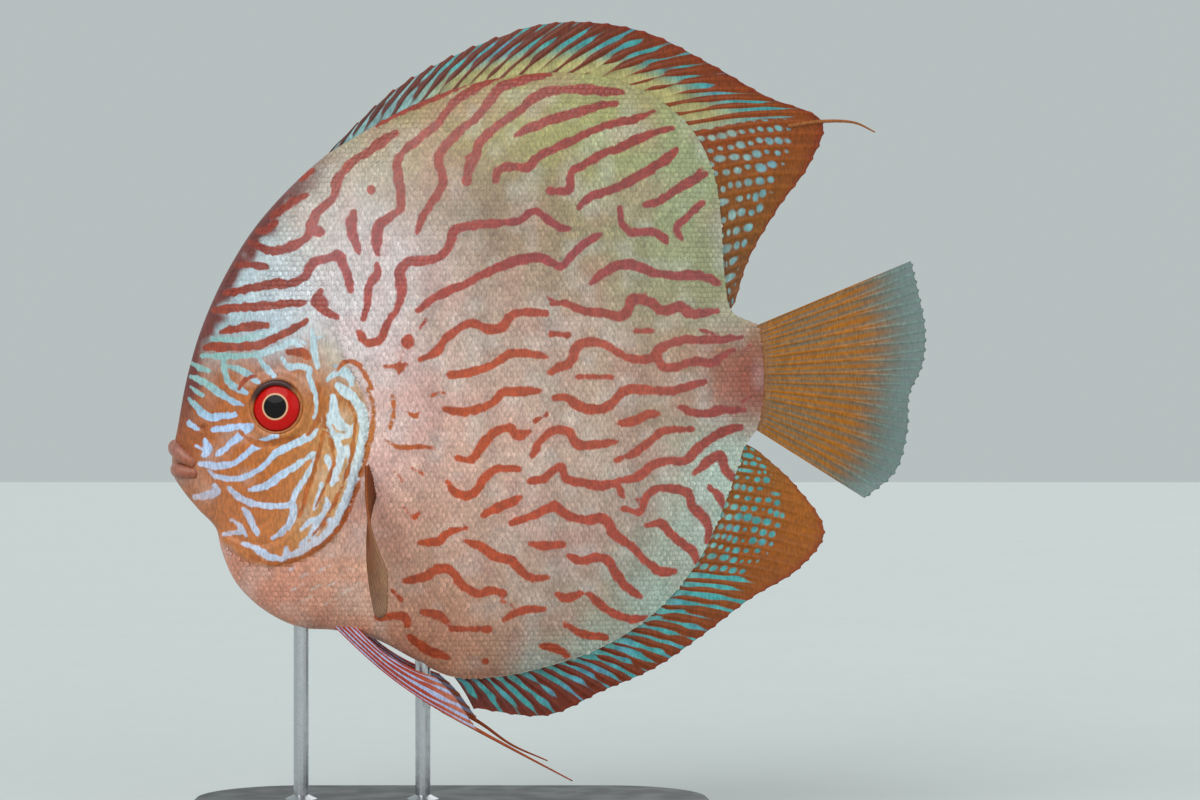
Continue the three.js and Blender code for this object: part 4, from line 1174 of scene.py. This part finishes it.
class DISCUS_OT_median_fins(bpy.types.Operator):
    """Make the dorsal, anal and tail fins"""
    bl_idname = "discus.median_fins"
    bl_label = "Dorsal, anal and tail fins"

    def execute(self, context):
        sizes = context.scene.discus_fins
        self.blue = np.array(sizes.streak_colour)
        self.dorsal(sizes.dorsal_rays, sizes.dorsal_spines)
        self.anal(sizes.anal_rays)
        self.tail(sizes.tail_rays)
        return {"FINISHED"}

    def streak_tones(self, px, py, base, touches, sky_seed, mottle):
        """Turquoise with touches of other colours, more blue away from the root."""
        tones = np.tile(self.blue, (len(px), 1))
        for colour, weight in touches:
            tones = toward(tones, colour, weight)
        sky = 0.5 * np.clip(lattice_noise(px, py, 24, sky_seed), 0, 1)
        tones = toward(tones, SKY, sky * (1 - base))
        return tones * mottled(px, py, (mottle,))[:, None]

    def dorsal(self, rays, spines):
        middle, thick, phase, share, crest = median_sheet("dorsal", rays, spines)
        px, py = midline_pixels(middle)
        flat_share = share.ravel()
        tone = toward(blend_places(px, py, FIN_TONES), "#8E2C12", 0.7 * smoothstep(0.9, 1.0, flat_share))
        tone = tone * (1 - 0.22 * (1 - crest.ravel()))[:, None]
        rear = smoothstep(0.62, 0.7, phase / (rays - 1))
        width = 0.4 - 0.25 * smoothstep(0.15, 0.6, share) - 0.13 * smoothstep(0.6, 0.95, share)
        dots = ray_dots(phase, share, ray_pixels(middle) / 10.5, (0.25, 0.36), 79)
        dots = dots + 4 * smoothstep(0.66, 0.88, share)
        streak = np.where(rear > 0.5, dots, ray_streaks(phase, share, width, 78)).ravel()
        base = 1 - smoothstep(0.22, 0.62, flat_share)
        front = 1 - smoothstep(390, 460, px)
        touches = (("#AEA56C", base * (1 - front)), ("#8FA8A8", 0.7 * front),
                   ("#7CA4A8", 0.8 * rear.ravel()))
        tones = self.streak_tones(px, py, base, touches, 81, (8, 0.25, 73))
        make_fin("dorsal_fin_skin", middle, thick, MATERIALS["fin"], ["dorsal_fin"],
                 tone, streak, tones)
        thread("dorsal_thread", DORSAL_THREAD, 0.15, "#9A5A2A")

    def anal(self, rays):
        middle, thick, phase, share, crest = median_sheet("anal", rays)
        px, py = midline_pixels(middle)
        flat_share = share.ravel()
        tone = toward(blend_places(px, py, FIN_TONES), "#862C12", 0.6 * smoothstep(0.9, 1.0, flat_share))
        rear = 1 - smoothstep(12, 16, phase)
        width = (0.38 - 0.17 * smoothstep(0.0, 0.3, share)) * (1 - 0.85 * smoothstep(0.6, 0.95, share))
        dots = ray_dots(phase, share, ray_pixels(middle) / 9.5, (0.28, 0.32), 90)
        dots = dots + 4 * smoothstep(0.55, 0.75, share)
        streak = np.where(rear > 0.5, dots, ray_streaks(phase, share, width, 74)).ravel()
        base = 1 - smoothstep(0.0, 0.28, flat_share)
        tones = self.streak_tones(px, py, base, (("#82B8AE", base),), 82, (7, 0.3, 75))
        make_fin("anal_fin_skin", middle, thick, MATERIALS["fin"], ["anal_fin"],
                 tone, streak, tones)

    def tail(self, rays):
        middle, thick, phase, share, crest = median_sheet("tail", rays, fork=FORK)
        flat_share, flat_crest = share.ravel(), crest.ravel()
        along = np.clip(smoothstep(0.0, 0.1, flat_share) - smoothstep(0.6, 0.95, flat_share), 0, 1)
        streaks = 0.5 + 0.5 * np.cos(4 * math.pi * (phase + 0.02 * share))
        broken = 0.5 + 0.5 * lattice_noise(phase * 5, share * 14, 4, 76)
        strength = along * (0.25 + 0.6 * streaks + 0.4 * broken).ravel()
        tone = toward(linear("#4C6A64"), OCHRE, np.clip(strength, 0, 1))
        tone = toward(tone, "#A4601E", 1 - smoothstep(0, 0.1, flat_share))
        tone = toward(tone, "#93AAA2", 0.5 * flat_crest * smoothstep(0.55, 0.9, flat_share))
        alpha = np.clip(1.0 - 0.5 * smoothstep(0.5, 1.0, flat_share) + 0.3 * flat_crest, 0.3, 1)
        make_fin("tail_fin_skin", middle, thick, MATERIALS["clear fin"], ["tail_fin"],
                 tone, np.full(len(tone), FAR), np.tile(linear(OCHRE), (len(tone), 1)), alpha)


def thread(name, stations, tip_radius, colour):
    """A filament that thins to its tip."""
    line = centripetal(stations, THREAD_POINTS)
    along = unit(np.gradient(line, axis=0))
    up = unit(np.cross([0, 1, 0], along))
    radius = np.linspace(THREAD_RADIUS, tip_radius, THREAD_POINTS)[:, None]
    points, faces = swept(line, radius * up, radius * np.cross(along, up), THREAD_SIDES)
    piece = new_piece(name, points, faces, MATERIALS["fin"])
    tone = np.tile(linear(colour), (len(points), 1))
    paint(piece, "tone", tone)
    paint(piece, "streak_tone", tone)
    paint(piece, "streak", np.full(len(points), FAR))
    u, v = np.meshgrid(np.linspace(0, 1, THREAD_SIDES), np.linspace(0, 1, THREAD_POINTS), indexing="ij")
    unwrap(piece, np.column_stack([u.ravel(), v.ravel()]))
    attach(piece, "root")


class DISCUS_OT_paired_fins(bpy.types.Operator):
    """Make the pectoral and pelvic fins of both sides"""
    bl_idname = "discus.paired_fins"
    bl_label = "Pectoral and pelvic fins"

    def execute(self, context):
        sizes = context.scene.discus_fins
        for side, sign in (("left", -1), ("right", 1)):
            self.pectoral(side, sign, sizes.pectoral_rays)
            self.pelvic(side, sign, sizes.pelvic_rays)
        return {"FINISHED"}

    @staticmethod
    def sheet(kind, sign, rays, per_ray, rows, fork=None):
        """Middle surface, ray phase, share of the ray and crest of a paired fin."""
        spec = PAIRED[kind]
        columns = (rays - 1) * per_ray + 1
        flip = np.array([1, sign, 1])
        start = centripetal(np.array(spec["root"]) * flip, columns)
        tips = centripetal(np.array(spec["tips"]) * flip, columns)
        share = np.tile(np.linspace(0, 1, rows), (columns, 1))
        phase = np.tile(np.linspace(0, rays - 1, columns)[:, None], (1, rows))
        crest = ray_profile(phase, fork, share)
        reach = share * (1 - PAIRED_NOTCH * (1 - crest[:, -1:]))
        middle = start[:, None] + (tips - start)[:, None] * reach[..., None]
        middle = middle + np.sin(math.pi * share)[..., None] * np.array(spec["bow"]) * flip
        return middle, phase, share, crest

    def pectoral(self, side, sign, rays):
        middle, phase, share, crest = self.sheet("pectoral", sign, rays, 10, 46, FORK)
        flat_share, flat_crest = share.ravel(), crest.ravel()
        tone = toward(linear("#864820"), "#7A3210", 1 - smoothstep(0, 0.35, flat_share))
        tone = toward(tone, "#B08C6A", 0.5 * smoothstep(0.4, 1, flat_share))
        # Painted shade: the tone falls from the leading rays to the darker trailing ones, and the rays are
        # lighter than the membrane between them.
        lead = phase.ravel() / (rays - 1)
        tone = tone * ((1.25 - 0.6 * lead) * (0.8 + 0.3 * flat_crest))[:, None]
        alpha = np.clip(1.0 - 0.35 * smoothstep(0.3, 1.0, flat_share) + 0.3 * flat_crest, 0.5, 1)
        make_fin(f"pectoral_{side}_skin", middle, fin_thickness(crest, share) * 0.72, MATERIALS["clear fin"],
                 [f"pectoral_fin_{side}"], tone, np.full(len(tone), FAR), tone, alpha)

    def pelvic(self, side, sign, rays):
        middle, phase, share, crest = self.sheet("pelvic", sign, rays, 12, 60)
        wave = 0.18 * lattice_noise(phase * 6, share * 30, 4, 77)
        streak = ((np.abs(phase % 1 - 0.5) - 0.2 + wave) * 10).ravel()
        tone = linear("#B4442C") * (0.85 + 0.25 * crest.ravel())[:, None]
        tone = toward(tone, "#C98A6C", 0.5 * smoothstep(0.7, 1, share.ravel()))
        blue = np.tile(linear("#A8B4D6"), (len(tone), 1))
        make_fin(f"pelvic_{side}_skin", middle, fin_thickness(crest, share) * 0.85, MATERIALS["fin"],
                 [f"pelvic_fin_{side}"], tone, streak, blue)
        stations = [(x, y * sign, z) for x, y, z in PELVIC_THREAD[side]]
        thread(f"pelvic_thread_{side}", stations, 0.14, "#A8481A")


# Eyes, lids and lips

FLANK_STEP = 0.5
EYE_ROWS = 48
EYE_SPOKES = 96
EYE_TILT = (0.004, math.pi * 0.62)
LID_AROUND = 96
LID_SECTION = 16
LID_THIN = 0.3
LID_SWELL = 0.34
LIP_POINTS = 64
LIP_SECTION = 28


def flank_normal(x, z):
    """The direction that the left flank faces, and half of the thickness there."""
    step = FLANK_STEP

    def half(a, b):
        return half_thickness(edge_share(a, b), a, b)

    slope = half(x + step, z) - half(x - step, z), half(x, z + step) - half(x, z - step)
    return unit(np.array([-slope[0], -2 * step, -slope[1]])), half(x, z)


class DISCUS_PG_eyes(bpy.types.PropertyGroup):
    radius: FloatProperty(name="Radius", description="Radius of the eye at its widest, under the skin",
                          default=EYE_WIDEST * MM, unit="LENGTH")
    bulge: FloatProperty(name="Bulge", description="How far it stands out", default=EYE_BULGE * MM,
                         unit="LENGTH")


class DISCUS_OT_eyes(bpy.types.Operator):
    """Make both eyes and the folds of skin round them"""
    bl_idname = "discus.eyes"
    bl_label = "Eyes"

    def execute(self, context):
        sizes = context.scene.discus_eyes
        for side, sign in (("left", -1), ("right", 1)):
            self.ball(side, sign, sizes)
            self.lid(side, sign)
        return {"FINISHED"}

    @staticmethod
    def axes(sign):
        """Where an eye lies on the flank, with the way out, up and back from it."""
        normal, half = flank_normal(*EYE_AT)
        normal = normal * [1, -sign, 1]
        surface = np.array([EYE_AT[0], sign * half, EYE_AT[1]])
        up = unit(np.array([0.0, 0.0, 1.0]) - normal * normal[2])
        return surface, normal, up, np.cross(up, normal) * sign

    def ball(self, side, sign, sizes):
        surface, normal, up, back = self.axes(sign)
        centre = surface + normal * (sizes.bulge / MM - EYE_DEPTH)
        rings, spokes = EYE_ROWS, EYE_SPOKES
        t, a = np.meshgrid(np.linspace(*EYE_TILT, rings),
                           np.linspace(0, 2 * math.pi, spokes, endpoint=False))
        aside = np.cos(a)[..., None] * back + np.sin(a)[..., None] * up
        points = grid_points(centre + np.cos(t)[..., None] * normal * EYE_DEPTH
                             + np.sin(t)[..., None] * aside * (sizes.radius / MM))
        faces = grid_faces(spokes, rings, closed=True, flip=sign < 0)
        faces.append([k * rings for k in range(spokes)][::-sign])
        faces.append([k * rings + rings - 1 for k in range(spokes)][::sign])
        piece = new_piece(f"eye_{side}_ball", points, faces, MATERIALS["eye"])
        paint(piece, "radius", np.where(t < math.pi / 2, np.sin(t), 1.0).ravel())
        paint(piece, "turn", (0.5 + 0.5 * np.sin(a)).ravel() * 3 + np.cos(a).ravel() * 2)
        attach(piece, "root")
        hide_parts(f"eye_{side}")

    def lid(self, side, sign):
        surface, normal, up, back = self.axes(sign)
        a, b = np.meshgrid(np.linspace(0, 2 * math.pi, LID_AROUND, endpoint=False),
                           np.linspace(0, 2 * math.pi, LID_SECTION, endpoint=False), indexing="ij")
        heavy = smoothstep(-0.2, 0.95, np.sin(a + 0.25))
        tube = LID_THIN + LID_SWELL * heavy
        reach = EYE_SHOWN + 0.05 - 0.45 * heavy + tube * np.cos(b)
        out = 0.15 + 0.45 * heavy + tube * np.sin(b)
        aside = np.cos(a)[..., None] * back + np.sin(a)[..., None] * up
        points = grid_points(surface + out[..., None] * normal + reach[..., None] * aside)
        faces = grid_faces(LID_AROUND, LID_SECTION, closed=True, ring=True, flip=sign < 0)
        piece = new_piece(f"lid_{side}", points, faces, MATERIALS["skin"])
        paint_bare(piece, toward(linear("#B0662C"), "#3A120C", smoothstep(0.3, 0.9, heavy).ravel()))
        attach(piece, "root")


# A lip's front, its corners and its section
UPPER_LIP = {"front": -52.0, "side": -46.8, "level": -13.3, "drop": -3.4, "spread": 4.4,
             "high": 1.7, "deep": 1.35}
LOWER_LIP = {"front": -51.5, "side": -46.4, "level": -17.9, "drop": -0.8, "spread": 4.1,
             "high": 1.65, "deep": 1.45}


class DISCUS_OT_lips(bpy.types.Operator):
    """Make the upper and lower lips"""
    bl_idname = "discus.lips"
    bl_label = "Lips"

    def execute(self, context):
        self.lip("lip_upper", UPPER_LIP)
        self.lip("lip_lower", LOWER_LIP)
        return {"FINISHED"}

    @staticmethod
    def lip(name, spec):
        """Sweep one lip across the mouth, from corner to corner."""
        front, side, level = spec["front"], spec["side"], spec["level"]
        drop, spread = spec["drop"], spec["spread"]
        half = [
            (side, -spread, level + drop),
            ((front * 3 + side) / 4, -spread * 0.66, level + drop * 0.35),
            (front, 0, level),
        ]
        line = centripetal(half + [(x, -y, z) for x, y, z in half[1::-1]], LIP_POINTS)
        along = unit(np.gradient(line, axis=0))
        out = unit(np.cross(along, [0, 0, 1.0]))
        ends = np.sin(np.linspace(0, math.pi, LIP_POINTS)) ** 0.35
        fleshy = 1 + 0.05 * lattice_noise(line[:, 1] * 3, line[:, 2], 1.2, 81)
        size = ((0.45 + 0.55 * ends) * fleshy)[:, None]
        points, faces = swept(line, spec["deep"] * size * out, spec["high"] * size * np.cross(out, along),
                              LIP_SECTION)
        piece = new_piece(name, points, faces, MATERIALS["skin"])
        ahead = np.tile(smoothstep(-47.5, -52.5, line[:, 0]), LIP_SECTION)
        paint_bare(piece, toward(linear("#A2583A"), "#A47266", 0.75 * ahead))
        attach(piece, "root")


# Stand and stage

class DISCUS_OT_stand(bpy.types.Operator):
    """Finish the display stand"""
    bl_idname = "discus.stand"
    bl_label = "Stand"

    def execute(self, context):
        for node, key in (("stand_base", "base"), ("stand_rod_front", "rod"), ("stand_rod_rear", "rod")):
            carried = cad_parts[node]
            carried.data.materials.clear()
            carried.data.materials.append(MATERIALS[key])
        return {"FINISHED"}


SOFT_ANGLE = math.radians(50)
FLOOR_HALF = 3.0
KEY_AT = (-0.45, -0.8, 0.75)
FILL_AT = (0.6, -0.8, 0.3)
BACK_AT = (0.3, 0.8, 0.7)
ROOM_COLOUR = "#DCE6E6"


class DISCUS_PG_stage(bpy.types.PropertyGroup):
    key_power: FloatProperty(name="Key light", description="Strength of the key light", default=1.35)
    fill_power: FloatProperty(name="Fill light", description="Strength of the fill light", default=0.45)
    world: FloatProperty(name="Room light", description="Strength of the room's light", default=0.66)


class DISCUS_OT_stage(bpy.types.Operator):
    """Set up floor, lights and camera"""
    bl_idname = "discus.stage"
    bl_label = "Floor, lights and camera"

    def execute(self, context):
        sizes = context.scene.discus_stage
        self.floor()
        self.light("key", KEY_AT, sizes.key_power)
        self.light("fill", FILL_AT, sizes.fill_power)
        self.light("back", BACK_AT, sizes.fill_power)
        self.world(sizes.world)
        self.camera()
        context.scene.view_settings.view_transform = "Standard"
        return {"FINISHED"}

    @staticmethod
    def floor():
        far = FLOOR_HALF
        points = [(-far, -far, 0), (far, -far, 0), (far, far, 0), (-far, far, 0)]
        floor = new_piece("floor", points, [(0, 1, 2, 3)], MATERIALS["floor"], smooth=False)

    @staticmethod
    def light(name, place, power):
        lamp = bpy.data.lights.new(name, "SUN")
        lamp.energy = power
        lamp.angle = SOFT_ANGLE
        lit = bpy.data.objects.new(name, lamp)
        lit.location = place
        aim = Vector((0, 0, FISH_Z)) - Vector(place)
        lit.rotation_euler = aim.to_track_quat("-Z", "Y").to_euler()
        bpy.context.scene.collection.objects.link(lit)

    @staticmethod
    def world(strength):
        world = bpy.data.worlds.new("Room")
        world.use_nodes = True
        background = world.node_tree.nodes["Background"]
        background.inputs["Color"].default_value = (*linear(ROOM_COLOUR), 1)
        background.inputs["Strength"].default_value = strength
        bpy.context.scene.world = world

    @staticmethod
    def camera():
        data = bpy.data.cameras.new("camera")
        data.sensor_width = SENSOR
        data.lens = SENSOR * CAMERA_DISTANCE / (PHOTO_WIDTH * METRES_PER_PIXEL)
        camera = bpy.data.objects.new("camera", data)
        camera.location = (CAMERA_X, -CAMERA_DISTANCE, CAMERA_Z)
        camera.rotation_euler = (math.pi / 2, 0, 0)
        bpy.context.scene.collection.objects.link(camera)
        bpy.context.scene.camera = camera


STEPS = (
    DISCUS_OT_skin, DISCUS_OT_scales, DISCUS_OT_median_fins, DISCUS_OT_paired_fins, DISCUS_OT_eyes,
    DISCUS_OT_lips, DISCUS_OT_stand, DISCUS_OT_stage,
)
GROUPS = {
    "discus_skin": DISCUS_PG_skin, "discus_scales": DISCUS_PG_scales, "discus_fins": DISCUS_PG_fins,
    "discus_eyes": DISCUS_PG_eyes, "discus_stage": DISCUS_PG_stage,
}


class DISCUS_PT_panel(bpy.types.Panel):
    """The steps that dress the fish, in order"""
    bl_idname = "DISCUS_PT_panel"
    bl_label = "Discus fish"
    bl_space_type = "VIEW_3D"
    bl_region_type = "UI"
    bl_category = "Discus"

    def draw(self, context):
        for step in STEPS:
            self.layout.operator(step.bl_idname, text=step.bl_label)


def register():
    for name, group in GROUPS.items():
        bpy.utils.register_class(group)
        setattr(bpy.types.Scene, name, PointerProperty(type=group))
    for step in STEPS:
        bpy.utils.register_class(step)
    bpy.utils.register_class(DISCUS_PT_panel)


def unregister():
    bpy.utils.unregister_class(DISCUS_PT_panel)
    for step in reversed(STEPS):
        bpy.utils.unregister_class(step)
    for name, group in GROUPS.items():
        delattr(bpy.types.Scene, name)
        bpy.utils.unregister_class(group)


def main():
    register()
    build_materials()
    bpy.ops.discus.skin()
    bpy.ops.discus.scales()
    bpy.ops.discus.median_fins()
    bpy.ops.discus.paired_fins()
    bpy.ops.discus.eyes()
    bpy.ops.discus.lips()
    bpy.ops.discus.stand()
    bpy.ops.discus.stage()


if __name__ == "__main__":
    main()
